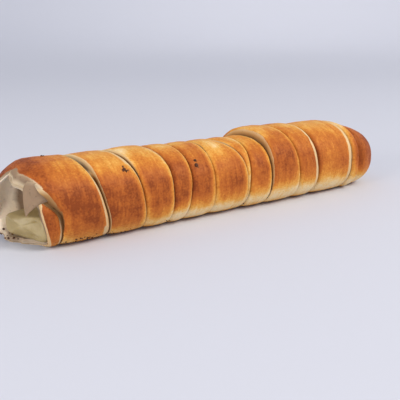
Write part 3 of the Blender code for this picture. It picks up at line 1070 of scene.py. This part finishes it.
    def _stain(self, row: Spots, lip: Any) -> Any:
        """How brown bare dough is, with painted shade in the grooves and under the first turn's lip.

        Args:
            row: the points.
            lip: 1 on the lip of the first turn.

        Returns:
            The stain and painted shade.
        """
        x, _, z = row.points.T
        # Painted shade: bare dough deep in a groove darkens the deeper it lies, turns grey rather than brown
        # in the first seam's upper gap, and the first turn's lip darkens below its top, under the overhang.
        sunk = self.sunk.fall(row.arch) * (1 - self.sunk_floury.fall(x))
        parted = self.parted[0].rise(x) * self.parted[1].rise(z) * (x < self.parted_end)
        stain = self.stain - self.floury.fall(x) + (self.sunk_stain - parted) * sunk
        flour = np.maximum(self.lip_flour * lip, self.tail_flour * (row.wound < 1))
        return stain + lip * self.lip_low.fall(z) - flour * self.lip_high.rise(z)

    def _crumbs(self, row: Spots) -> Any:
        """How thickly crumbs lie.

        Args:
            row: the points.

        Returns:
            The share of the full density.
        """
        x, y, z = row.points.T
        crumbs = self.few_crumbs + self.many_crumbs * self.littered.share(x)
        crumbs = crumbs * self.littered_foot.share(z)
        for fleck_x, fleck_y in self.flecks:
            away = np.hypot(x - fleck_x, y - fleck_y) + self.too_far * (z < self.crest_from)
            crumbs = crumbs + self.fleck.fall(away)
        return crumbs


@dataclass(frozen=True)
class HollowShape:
    """The lip of the open end, the hollow behind it and the tunnel that the cheese fills."""

    strip: StripShape = field(default_factory=StripShape)
    lip_backset: float = 1.2
    lip_shares: tuple[float, ...] = (0.8, 0.25)  # of its face, from the hollow to the skin
    hollow_taper: float = 0.011  # how much narrower each millimetre inwards
    thinnest_lip: float = 1.6
    hollow_full: float = 16.0
    hollow_end: float = 42.0
    hollow_flare: float = 0.5
    hollow_power: float = 1.5
    hollow_half_width: float = 17.8
    hollow_half_height: float = 16.8
    hollow_centre: tuple[float, float] = (3.0, 21.4)
    cheese_half_width: float = 13.8
    cheese_half_height: float = 7.3
    cheese_corner: float = 5.0
    cheese_centre: tuple[float, float] = (-0.6, 10.2)
    cheese_near_end: float = -116.4
    cheese_slant: float = 0.40
    cheese_far_end: float = 100.0
    cheese_edge: float = 3.0
    cheese_clearance: float = 0.3
    depths: tuple[float, ...] = (
        1.0, 2.2, 3.6, 5.0, 7.5, 10.0, 13.0, 16.0, 19.0, 22.0, 25.0, 28.0, 34.0, 42.0,
    )
    tunnel_steps: int = 5
    # The hollow's dough is floury, painted grey as shade deeper inside and higher under its roof, and soiled
    # where the cheese ran
    stained: tuple[Fade, Fade] = (Fade(-115.5, -109.0, 0.25), Fade(6.0, 20.0, 0.4))
    soiled: tuple[Fade, Fade] = (Fade(18.0, 24.0, 0.04), Fade(4.0, 9.0, 0.09))
    littered: tuple[Fade, Band] = (Fade(-121.0, -116.0, 5.0), Band(1.2, 1.8, 2.0, 7.0))
    wrinkled: float = 0.3

    @property
    def tunnel_end(self) -> float:
        """x of the far end of the tunnel."""
        return self.cheese_far_end + self.cheese_clearance

    def directions(self) -> np.ndarray:
        """Looks from the middle of the cheese towards each column of the skin.

        Returns:
            The unit y and z of each direction.
        """
        crest = np.full(self.strip.columns, self.strip.half_width(1.0))
        skin = self.strip.skin_points(np.zeros(self.strip.columns), crest, crest, self.strip.angles())
        toward = skin[:, 1:].T - np.array(self.cheese_centre)[:, None]
        return toward / np.hypot(*toward)

    def cheese_reach(self, grown: float) -> np.ndarray:
        """How far the cheese's rounded section reaches in each direction.

        Args:
            grown: how much it is grown all round.

        Returns:
            The reach from the middle of the cheese.
        """
        across, up = np.maximum(abs(self.directions()), TINY)
        half_across, half_height = self.cheese_half_width + grown, self.cheese_half_height + grown
        corner = self.cheese_corner + grown
        flat = np.minimum(half_across / across, half_height / up)
        inner_y, inner_z = half_across - corner, half_height - corner
        off = across * inner_z - up * inner_y
        turned = across * inner_y + up * inner_z + np.sqrt(np.maximum(corner**2 - off**2, 0))
        in_corner = (flat * across > inner_y) & (flat * up > inner_z)
        return np.where(in_corner, turned, flat)

    def hollow_reach(self) -> np.ndarray:
        """How far the hollow over the cheese reaches.

        Returns:
            The reach in each direction from the middle of the cheese.
        """
        axes = np.array([[self.hollow_half_width], [self.hollow_half_height]])
        offset = (np.array(self.cheese_centre) - np.array(self.hollow_centre))[:, None] / axes
        step = self.directions() / axes
        a, b, c = (step**2).sum(0), (offset * step).sum(0), (offset**2).sum(0) - 1
        return (-b + np.sqrt(b * b - a * c)) / a

    def inside_points(self, x: Any, reach: Any) -> np.ndarray:
        """A ring inside the roll, at a distance from the line through the middle of the cheese."""
        y, z = np.array(self.cheese_centre)[:, None] + reach * self.directions()
        return np.stack([np.zeros_like(y) + x, y, z], axis=-1)

    def wall_reach(self, nose: np.ndarray, depth: float) -> np.ndarray:
        """How far the inner wall reaches from the middle of the cheese.

        Args:
            nose: the ring of points along the lip.
            depth: how far behind the lip.

        Returns:
            The reach in each direction.
        """
        lip = np.hypot(*(nose[:, 1:] - np.array(self.cheese_centre)).T) - self.thinnest_lip
        closing = np.clip((depth - self.hollow_full) / (self.hollow_end - self.hollow_full), 0, 1)
        roof = self.hollow_reach() * (1 - closing**self.hollow_power) * (1 - self.hollow_taper * depth)
        open_reach = np.minimum(roof, lip + self.hollow_flare * depth)
        return np.maximum(self.cheese_reach(self.cheese_clearance), open_reach)

    def rings(self, nose: np.ndarray) -> list[np.ndarray]:
        """The rings from the lip's nose over its face and through the hollow to the tunnel's end.

        Args:
            nose: the ring of points along the lip.

        Returns:
            The rings, from the nose inwards.
        """
        wall = self.inside_points(nose[:, 0], self.wall_reach(nose, 0.0))
        rings = []
        for share in self.lip_shares:
            ring = wall + (nose - wall) * share
            ring[:, 0] = nose[:, 0] + self.lip_backset * (1 - share)
            rings.append(ring)
        for depth in self.depths:
            square = min(depth / self.hollow_end, 1)
            x = nose[:, 0] * (1 - square) - self.strip.half_length * square + depth
            rings.append(self.inside_points(x, self.wall_reach(nose, depth)))
        tunnel = self.cheese_reach(self.cheese_clearance)
        start = self.hollow_end - self.strip.half_length
        for x in np.linspace(start, self.tunnel_end, self.tunnel_steps + 1)[1:]:
            rings.append(self.inside_points(x, tunnel))
        return rings

    def inner_looks(self, points: np.ndarray) -> Looks:
        """How points inside the open end look.

        Args:
            points: the points, one a row.

        Returns:
            The looks of bare dough, painted grey as shade deeper inside, and stained where the cheese ran.
        """
        x, y, z = points.T
        deep_shade, roof = self.stained
        # Painted shade: the dough greys deeper inside the hollow and higher under its roof.
        stain = deep_shade.rise(x) * (1 - roof.share + roof.rise(z))
        stain = np.maximum(stain, sum(soil.fall(z) for soil in self.soiled))
        near, low = self.littered
        crumbs = near.fall(x) * low.share(z)
        return Looks.like(x, bare=1.0, stain=stain, along=x, across=y, relief=self.wrinkled, crumbs=crumbs)


# ---- Pieces ---------------------------------------------------------------------------------


class Skin:
    """Points and faces collected line by line along the roll, to become one closed mesh.

    Every line runs round the roll from the top over the front. With each new line further along
    the surface, the faces between them point outwards.
    """

    def __init__(self, columns: int, looks_of: Callable[[np.ndarray], Looks]) -> None:
        """Starts with no points.

        Args:
            columns: how many points a line has.
            looks_of: gives the looks of points that are added without any.
        """
        self.columns = columns
        self.looks_of = looks_of
        self.points: list[np.ndarray] = []
        self.looks: list[Looks] = []
        self.lines: list[list[int]] = []
        self.count = 0

    def add_points(self, points: np.ndarray, looks: Looks | None = None) -> list[int]:
        """Adds points.

        Args:
            points: the points, one a row.
            looks: their looks, where `looks_of` doesn't give them.

        Returns:
            Their numbers.
        """
        self.points.append(points)
        self.looks.append(looks or self.looks_of(points))
        first, self.count = self.count, self.count + len(points)
        return list(range(first, self.count))

    def add_ring(self, ring: np.ndarray) -> None:
        """Adds a closed line."""
        numbers = self.add_points(ring)
        self.lines.append(numbers + numbers[:1])

    def add_pole(self, *place: float, looks: Looks | None = None) -> None:
        """Adds a line that is drawn together in one point, which closes an end.

        Args:
            place: the point.
            looks: its looks, where `looks_of` doesn't give them.
        """
        self.lines.append(self.add_points(np.array([place]), looks) * (self.columns + 1))

    def faces(self) -> list[list[int]]:
        """Joins neighbouring lines.

        Returns:
            The faces between them, without those that have closed to nothing.
        """
        faces = []
        for line, following in zip(self.lines[:-1], self.lines[1:]):
            for corners in zip(line[:-1], line[1:], following[1:], following[:-1]):
                distinct = list(dict.fromkeys(corners))
                if len(distinct) > 2:
                    faces.append(distinct)
        return faces

    def to_object(self, name: str) -> bpy.types.Object:
        """Makes the Blender object, in metres, with the looks as attributes.

        Args:
            name: the object's name.

        Returns:
            The object, in the scene.
        """
        mesh = bpy.data.meshes.new(name)
        mesh.from_pydata(np.concatenate(self.points) * MM, [], self.faces())
        values = dict(zip(Looks._fields, (np.concatenate(value) for value in zip(*self.looks))))
        for key in ("bake", "bare", "stain", "relief", "crumbs"):
            attribute = mesh.attributes.new(key, "FLOAT", "POINT")
            attribute.data.foreach_set("value", values[key].astype(np.float32))
        strip = np.stack([values["along"], values["across"], np.zeros(self.count)], axis=-1) * MM
        attribute = mesh.attributes.new("strip_place", "FLOAT_VECTOR", "POINT")
        attribute.data.foreach_set("vector", strip.astype(np.float32).ravel())
        mesh.shade_smooth()
        return new_object(name, mesh)


@dataclass
class Bread:
    """The wound strip of dough, with its hollow and the relief of its crust."""

    shape: HollowShape = field(default_factory=HollowShape)
    baking: Baking = field(default_factory=Baking)
    wrinkle_depth: float = 0.5
    wrinkle_length: float = 24.0
    wrinkle_width: float = 5.0
    lump_depth: float = 0.9
    lump_size: float = 17.0
    blister_height: float = 0.3
    blister_size: float = 2.4
    detail: float = 1.5
    seed: int = 4

    def build(self) -> bpy.types.Object:
        """Makes the bread in one piece, dressed in its crust.

        Returns:
            The bread.
        """
        shape, strip = self.shape, self.shape.strip
        turns = [strip.turn_rows(turn) for turn in range(strip.turns)]
        skin = Skin(strip.columns, shape.inner_looks)
        skin.add_pole(shape.tunnel_end, *shape.cheese_centre)
        for ring in reversed(shape.rings(turns[0][0].points)):
            skin.add_ring(ring)
        numbered = [[skin.add_points(row.points, self.baking.looks(row)) for row in rows] for rows in turns]
        # Round the roll each row runs on into the next turn, and the tail starts from one point
        start, finish = numbered[1][0][0], numbered[-1][-1][0]
        for row in numbered[0]:
            row[0] = start
        following = [[row[0] for row in rows] for rows in numbered[1:]] + [[finish] * len(numbered[-1])]
        for rows, ends in zip(numbered, following):
            skin.lines += [row + [end] for row, end in zip(rows, ends)]
        tuck = Looks.like(np.zeros(1), bake=1.0, relief=1.0)
        skin.add_pole(strip.half_length - strip.far_end_dimple, 0.0, strip.far_end_centre, looks=tuck)
        piece = skin.to_object("wound_bread")
        self.relief(BrownedCrust().material()).apply_to(piece)
        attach(piece, BODY)
        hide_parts("bread")
        return piece

    def relief(self, crust: bpy.types.Material) -> GeometryRule:
        """The rule that wrinkles the skin: lumps, streaks along the strip and small blisters.

        Args:
            crust: the bread's material.

        Returns:
            The rule.
        """
        rule = GeometryRule("dough relief")
        seed = rule.take("Seed", float(self.seed))
        strip = rule.add("GeometryNodeInputNamedAttribute", {"Name": "strip_place"}, data_type="FLOAT_VECTOR")
        share = rule.add("GeometryNodeInputNamedAttribute", {"Name": "relief"}, data_type="FLOAT")
        place = rule.add("GeometryNodeInputPosition")
        length = rule.take("Wrinkle length", self.wrinkle_length * MM)
        width = rule.take("Wrinkle width", self.wrinkle_width * MM)
        wave = rule.add("ShaderNodeCombineXYZ", {"X": length, "Y": width, "Z": 1.0})
        total: Any = 0.0
        for name, depth, vector, size in (
            ("Wrinkle", self.wrinkle_depth, strip, wave),
            ("Lump", self.lump_depth, place, rule.take("Lump size", self.lump_size * MM)),
            ("Blister", self.blister_height, place, rule.take("Blister size", self.blister_size * MM)),
        ):
            scaled = rule.add("ShaderNodeVectorMath", {0: vector, 1: size}, operation="DIVIDE")
            inputs = {"Vector": scaled, "W": seed, "Scale": 1.0, "Detail": self.detail}
            noise = rule.add("ShaderNodeTexNoise", inputs, noise_dimensions="4D")
            centred = rule.add("ShaderNodeMath", {0: noise, 1: 0.5}, operation="SUBTRACT")
            most = rule.take(f"{name} depth", depth * MM)
            high = rule.add("ShaderNodeMath", {0: centred, 1: most}, operation="MULTIPLY")
            total = rule.add("ShaderNodeMath", {0: total, 1: high}, operation="ADD")
        masked = rule.add("ShaderNodeMath", {0: total, 1: share}, operation="MULTIPLY")
        normal = rule.add("GeometryNodeInputNormal")
        offset = rule.add("ShaderNodeVectorMath", {0: normal, "Scale": masked}, operation="SCALE")
        moved = {"Geometry": rule.start.outputs["Geometry"], "Offset": offset}
        return rule.finish(rule.add("GeometryNodeSetPosition", moved), crust)


@dataclass
class TornFlap:
    """The tongue of bare dough that hangs in the open end, where the strip's start tore."""

    left_edge: tuple[Place, ...] = (
        (-116.6, -17.0, 38.0), (-118.4, -16.2, 35.6), (-119.3, -16.0, 31.0),
        (-119.5, -16.2, 26.0), (-119.2, -16.4, 21.5), (-119.0, -16.4, 19.6),
    )
    right_edge: tuple[Place, ...] = (
        (-105.5, -18.6, 35.0), (-103.2, -19.3, 31.5), (-103.4, -19.6, 28.0),
        (-111.5, -18.0, 25.8), (-116.7, -16.9, 22.6), (-118.7, -16.4, 19.8),
    )
    thickness: float = 2.6
    edge_share: float = 0.55  # of the thickness, towards its edges
    end_power: int = 6
    bulge: float = 0.8
    lumps: float = 0.45
    lump_waves: Place = (6.0, 2.6, 3.4)  # seed, and their length across and down
    steps: int = 36
    columns: int = 40
    # The flap's dough is painted grey as shade under the hood.
    stain: float = 0.22
    stained: tuple[Fade, Fade] = (Fade(-119.6, -118.6, 0.05), Fade(31.0, 37.0, 0.1))

    def build(self, crust: bpy.types.Material) -> bpy.types.Object:
        """Makes the flap in one closed piece.

        Args:
            crust: the bread's material.

        Returns:
            The flap.
        """
        skin = Skin(self.columns, self._looks)
        turn = -np.arange(self.columns) * FULL_TURN / self.columns
        side, out = np.cos(turn), np.sin(turn)
        profile = 0.5 * self.thickness * out * (self.edge_share + (1 - self.edge_share) * side**2)
        profile = profile - self.bulge * out**2
        spots = np.linspace(0, 1, len(self.left_edge))
        for step in range(self.steps + 1):
            share = step / self.steps
            left, right = (
                np.array([smooth_through(list(zip(spots, axis)), share) for axis in zip(*edge)])
                for edge in (self.left_edge, self.right_edge)
            )
            middle, half = (left + right) / 2, (right - left) / 2
            if step in (0, self.steps):
                skin.add_pole(*middle)
                continue
            face = np.cross(half, (0.0, 0.0, -1.0))
            face = face / np.linalg.norm(face)
            ring = side[:, None] * half + profile[:, None] * face
            ring = middle + ring * math.sqrt(1 - share**self.end_power)
            seed, across, down = self.lump_waves
            ring[:, 1] += self.lumps * ripple(seed, ring[:, 0] / across, ring[:, 2] / down)
            skin.add_ring(ring)
        piece = skin.to_object("torn_flap")
        piece.data.materials.append(crust)
        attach(piece, BODY)
        return piece

    def _looks(self, points: np.ndarray) -> Looks:
        """How points of the flap look.

        Args:
            points: the points, one a row.

        Returns:
            The looks of bare dough painted grey as shade, shifted a little at its left edge and its top.
        """
        x, _, z = points.T
        stain = self.stain + self.stained[0].fall(x) + self.stained[1].rise(z)
        return Looks.like(x, bare=1.0, stain=stain, along=x, across=z)


@dataclass
class Cheese:
    """The stick of halloumi in its tunnel, with its softened cut end."""

    shape: HollowShape = field(default_factory=HollowShape)
    edge_steps: int = 5
    face_rings: int = 28
    dome: float = 1.0
    slump: Fade = Fade(-0.2, 1.0, 0.3)  # how far its softened sides and top have sunk at the cut
    slump_length: Fade = Fade(0.0, 22.0)
    body_steps: tuple[float, ...] = (0.02, 0.05, 0.1, 0.3, 0.6, 0.9)
    soft_end: Fade = Fade(-112.0, -106.0)
    soft_depth: float = 1.0
    soft_size: float = 9.0
    seed: int = 11

    def build(self) -> bpy.types.Object:
        """Makes the cheese in one piece.

        Returns:
            The cheese.
        """
        shape = self.shape
        near, far, edge = shape.cheese_near_end, shape.cheese_far_end, shape.cheese_edge
        full, eased = shape.cheese_reach(0.0), shape.cheese_reach(-edge)
        cut = near - shape.cheese_slant * (shape.inside_points(0.0, full)[:, 1] - shape.cheese_centre[0])
        sunk = self.slump.rise(shape.directions()[1])
        near_full, near_eased = full * (1 - sunk), eased * (1 - sunk)
        skin = Skin(shape.strip.columns, self._looks)
        skin.add_pole(near - self.dome, *shape.cheese_centre)
        for share in np.arange(1, self.face_rings + 1) / (self.face_rings + 1):
            x = near + (cut - near) * share - self.dome * (1 - share**2)
            skin.add_ring(shape.inside_points(x, near_eased * share))
        for step in range(self.edge_steps + 1):
            turn = step / self.edge_steps * math.pi / 2
            reach = near_eased + (near_full - near_eased) * math.sin(turn)
            skin.add_ring(shape.inside_points(cut + edge * (1 - math.cos(turn)), reach))
        for share in self.body_steps:
            x = cut * (1 - share) + far * share
            reach = full * (1 - sunk * self.slump_length.fall(x - cut))
            skin.add_ring(shape.inside_points(x, reach))
        skin.add_ring(shape.inside_points(far - edge, full))
        skin.add_ring(shape.inside_points(far, eased))
        skin.add_pole(far, *shape.cheese_centre)
        piece = skin.to_object("halloumi_stick")
        self.relief(WarmHalloumi().material()).apply_to(piece)
        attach(piece, BODY)
        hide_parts("cheese")
        return piece

    def _looks(self, points: np.ndarray) -> Looks:
        """The looks of points of the cheese, which only its relief reads."""
        return Looks.like(points[:, 0], relief=self.soft_end.fall(points[:, 0]))

    def relief(self, halloumi: bpy.types.Material) -> GeometryRule:
        """The rule that softens the cheese: shallow dents, as warm cheese slumps.

        Args:
            halloumi: the cheese's material.

        Returns:
            The rule.
        """
        rule = GeometryRule("softened cheese")
        depth = rule.take("Dent depth", self.soft_depth * MM)
        size = rule.take("Dent size", self.soft_size * MM)
        seed = rule.take("Seed", float(self.seed))
        share = rule.add("GeometryNodeInputNamedAttribute", {"Name": "relief"}, data_type="FLOAT")
        place = rule.add("GeometryNodeInputPosition")
        scaled = rule.add("ShaderNodeVectorMath", {0: place, 1: size}, operation="DIVIDE")
        inputs = {"Vector": scaled, "W": seed, "Scale": 1.0, "Detail": 1.0}
        noise = rule.add("ShaderNodeTexNoise", inputs, noise_dimensions="4D")
        dent = rule.add("ShaderNodeMath", {0: noise, 1: depth}, operation="MULTIPLY")
        masked = rule.add("ShaderNodeMath", {0: dent, 1: share}, operation="MULTIPLY")
        along = rule.add("ShaderNodeCombineXYZ", {"X": masked})
        moved = {"Geometry": rule.start.outputs["Geometry"], "Offset": along}
        return rule.finish(rule.add("GeometryNodeSetPosition", moved), halloumi)


@dataclass
class StuckCrumbs:
    """Toasted crumbs that cling to the roll, mostly along its base near the open end."""

    density: float = 90000.0  # a square metre, where the crumbs attribute is 1
    smallest: float = 0.4
    largest: float = 1.4
    stretch: tuple[float, float] = (0.6, 1.3)
    flakes: tuple[float, float] = (2.5, 8.0)  # where crumbs lie this thickly, they are larger
    flake_growth: float = 1.7
    ragged: float = 0.25
    ragged_size: float = 0.5
    seed: int = 7

    def build(self, bread: bpy.types.Object) -> bpy.types.Object:
        """Makes the crumbs in one piece.

        Args:
            bread: what they stick to.

        Returns:
            The crumbs.
        """
        piece = new_object("toasted_crumbs", bread.data.copy())
        self.scatter(ToastedCrumb().material()).apply_to(piece)
        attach(piece, BODY)
        return piece

    def scatter(self, toasted: bpy.types.Material) -> GeometryRule:
        """The rule that scatters the crumbs.

        Args:
            toasted: the crumbs' material.

        Returns:
            The rule.
        """
        rule = GeometryRule("stuck crumbs")
        density = rule.take("Density", self.density)
        smallest = rule.take("Smallest", self.smallest * MM)
        largest = rule.take("Largest", self.largest * MM)
        ragged = rule.take("Raggedness", self.ragged * MM)
        seed = rule.take("Seed", self.seed)
        share = rule.add("GeometryNodeInputNamedAttribute", {"Name": "crumbs"}, data_type="FLOAT")
        thick = rule.add("ShaderNodeMath", {0: share, 1: density}, operation="MULTIPLY")
        bread = {"Mesh": rule.start.outputs["Geometry"], "Density": thick, "Seed": seed}
        spots = rule.add("GeometryNodeDistributePointsOnFaces", bread)
        crumb = rule.add("GeometryNodeMeshIcoSphere", {"Radius": 0.5, "Subdivisions": 2})
        widths = {2: smallest, 3: largest, "Seed": seed}
        width = rule.add("FunctionNodeRandomValue", widths, data_type="FLOAT")
        least, most = ((value,) * 3 for value in self.stretch)
        shape = rule.add("FunctionNodeRandomValue", {0: least, 1: most}, data_type="FLOAT_VECTOR")
        few, many = self.flakes
        larger = rule.add("ShaderNodeMapRange", {0: share, 1: few, 2: many, 3: 1.0, 4: self.flake_growth})
        wide = rule.add("ShaderNodeMath", {0: width, 1: larger}, operation="MULTIPLY")
        size = rule.add("ShaderNodeVectorMath", {0: shape, "Scale": wide}, operation="SCALE")
        turned = rule.add("FunctionNodeRandomValue", {1: (FULL_TURN,) * 3}, data_type="FLOAT_VECTOR")
        placed = rule.add(
            "GeometryNodeInstanceOnPoints",
            {"Points": spots, "Instance": crumb, "Rotation": turned, "Scale": size},
        )
        real = rule.add("GeometryNodeRealizeInstances", {"Geometry": placed})
        place = rule.add("GeometryNodeInputPosition")
        inputs = {"Vector": place, "Scale": 1 / (self.ragged_size * MM), "Detail": 1.0}
        noise = rule.add("ShaderNodeTexNoise", inputs).outputs["Color"]
        centred = rule.add("ShaderNodeVectorMath", {0: noise, 1: (0.5,) * 3}, operation="SUBTRACT")
        offset = rule.add("ShaderNodeVectorMath", {0: centred, "Scale": ragged}, operation="SCALE")
        moved = rule.add("GeometryNodeSetPosition", {"Geometry": real, "Offset": offset})
        return rule.finish(moved, toasted)


# ---- The studio -----------------------------------------------------------------------------


class Softbox(NamedTuple):
    """A large square light that the camera doesn't see."""

    name: str
    watts: float
    size: float
    place: Place
    aim: Place  # the direction that it shines in


@dataclass
class Studio:
    """A pale paper bowl under and round the roll, soft lights, and the camera."""

    floor_radius: float = 1600.0
    middle_radius: float = 480.0
    sweep_radius: float = 1200.0
    sweep_steps: int = 12
    sides: int = 96
    focal: float = 57.6
    sensor: float = 36.0
    nearest: float = 10.0
    azimuth: float = -33.0
    elevation: float = 17.44
    distance: float = 383.4
    target: Place = (-8.1, 0.0, 5.4)
    softboxes: tuple[Softbox, ...] = (
        Softbox("key", 26.0, 700.0, (650.0, -1300.0, 1400.0), (-650.0, 1300.0, -1400.0)),
        Softbox("fill", 9.0, 600.0, (-1400.0, -330.0, 380.0), (1400.0, 330.0, -380.0)),
        Softbox("backdrop", 7.5, 900.0, (1000.0, 1050.0, 1250.0), (0.5, 0.8, -0.55)),
    )
    light_colour: str = "#FFF8EE"
    sky_strength: float = 0.6
    sky_colour: str = "#F4F4F8"

    def build(self) -> None:
        """Makes the paper, the lights and the camera."""
        self._paper()
        for softbox in self.softboxes:
            data = bpy.data.lights.new(softbox.name, "AREA")
            data.energy = softbox.watts
            data.size = softbox.size * MM
            data.color = linear(self.light_colour)[:3]
            self._hang(data, softbox.place, softbox.aim).visible_camera = False
        world = bpy.data.worlds.new("sky")
        bpy.context.scene.world = world
        world.use_nodes = True
        sky = world.node_tree.nodes["Background"]
        sky.inputs["Color"].default_value = linear(self.sky_colour)
        sky.inputs["Strength"].default_value = self.sky_strength
        self._camera()

    def _paper(self) -> None:
        """Makes the paper: a flat disc that sweeps up all round, turned about the vertical."""
        profile = [(self.middle_radius, 0.0), (self.floor_radius, 0.0)]
        for step in range(1, self.sweep_steps + 1):
            turn = step * math.pi / (2 * self.sweep_steps)
            out, up = math.sin(turn), 1 - math.cos(turn)
            profile.append((self.floor_radius + self.sweep_radius * out, self.sweep_radius * up))
        spokes = [k * FULL_TURN / self.sides for k in range(self.sides)]
        points = [(r * math.cos(a) * MM, r * math.sin(a) * MM, z * MM) for r, z in profile for a in spokes]
        faces = [list(range(self.sides))]
        for ring in range(len(profile) - 1):
            for k in range(self.sides):
                a, b = ring * self.sides + k, ring * self.sides + (k + 1) % self.sides
                faces.append([a, a + self.sides, b + self.sides, b])
        mesh = bpy.data.meshes.new("paper")
        mesh.from_pydata(points, [], faces)
        mesh.shade_smooth()
        mesh.materials.append(StudioPaper().material())
        new_object("paper", mesh)

    def _camera(self) -> None:
        """Adds the camera at the photograph's viewing angle."""
        turn, rise = math.radians(self.azimuth), math.radians(self.elevation)
        back = (math.sin(turn) * math.cos(rise), -math.cos(turn) * math.cos(rise), math.sin(rise))
        data = bpy.data.cameras.new("camera")
        data.lens = self.focal
        data.sensor_width = self.sensor
        data.clip_start = self.nearest * MM
        place = [t + self.distance * b for t, b in zip(self.target, back)]
        bpy.context.scene.camera = self._hang(data, place, [-b for b in back])

    @staticmethod
    def _hang(data: Any, place: Iterable[float], aim: Iterable[float]) -> bpy.types.Object:
        """Puts a lamp or camera in the scene, with its top up.

        Args:
            data: the lamp or camera.
            place: where it goes.
            aim: the direction that it looks in.

        Returns:
            Its object.
        """
        x, y, z = aim
        thing = new_object(data.name, data)
        thing.location = [c * MM for c in place]
        thing.rotation_euler = (math.atan2(math.hypot(x, y), -z), 0.0, math.atan2(-x, y))
        return thing


def main() -> None:
    """Builds the roll piece by piece, then the studio round it."""
    logging.basicConfig(level=logging.INFO, format="%(name)s: %(message)s")
    bread = Bread().build()
    flap = TornFlap().build(bread.data.materials[0])
    cheese = Cheese().build()
    crumbs = StuckCrumbs().build(bread)
    for piece in (bread, flap, cheese, crumbs):
        log.info("%s: %d points", piece.name, len(piece.data.vertices))
    Studio().build()
    bpy.context.scene.view_settings.view_transform = "Standard"


if __name__ == "__main__":
    main()
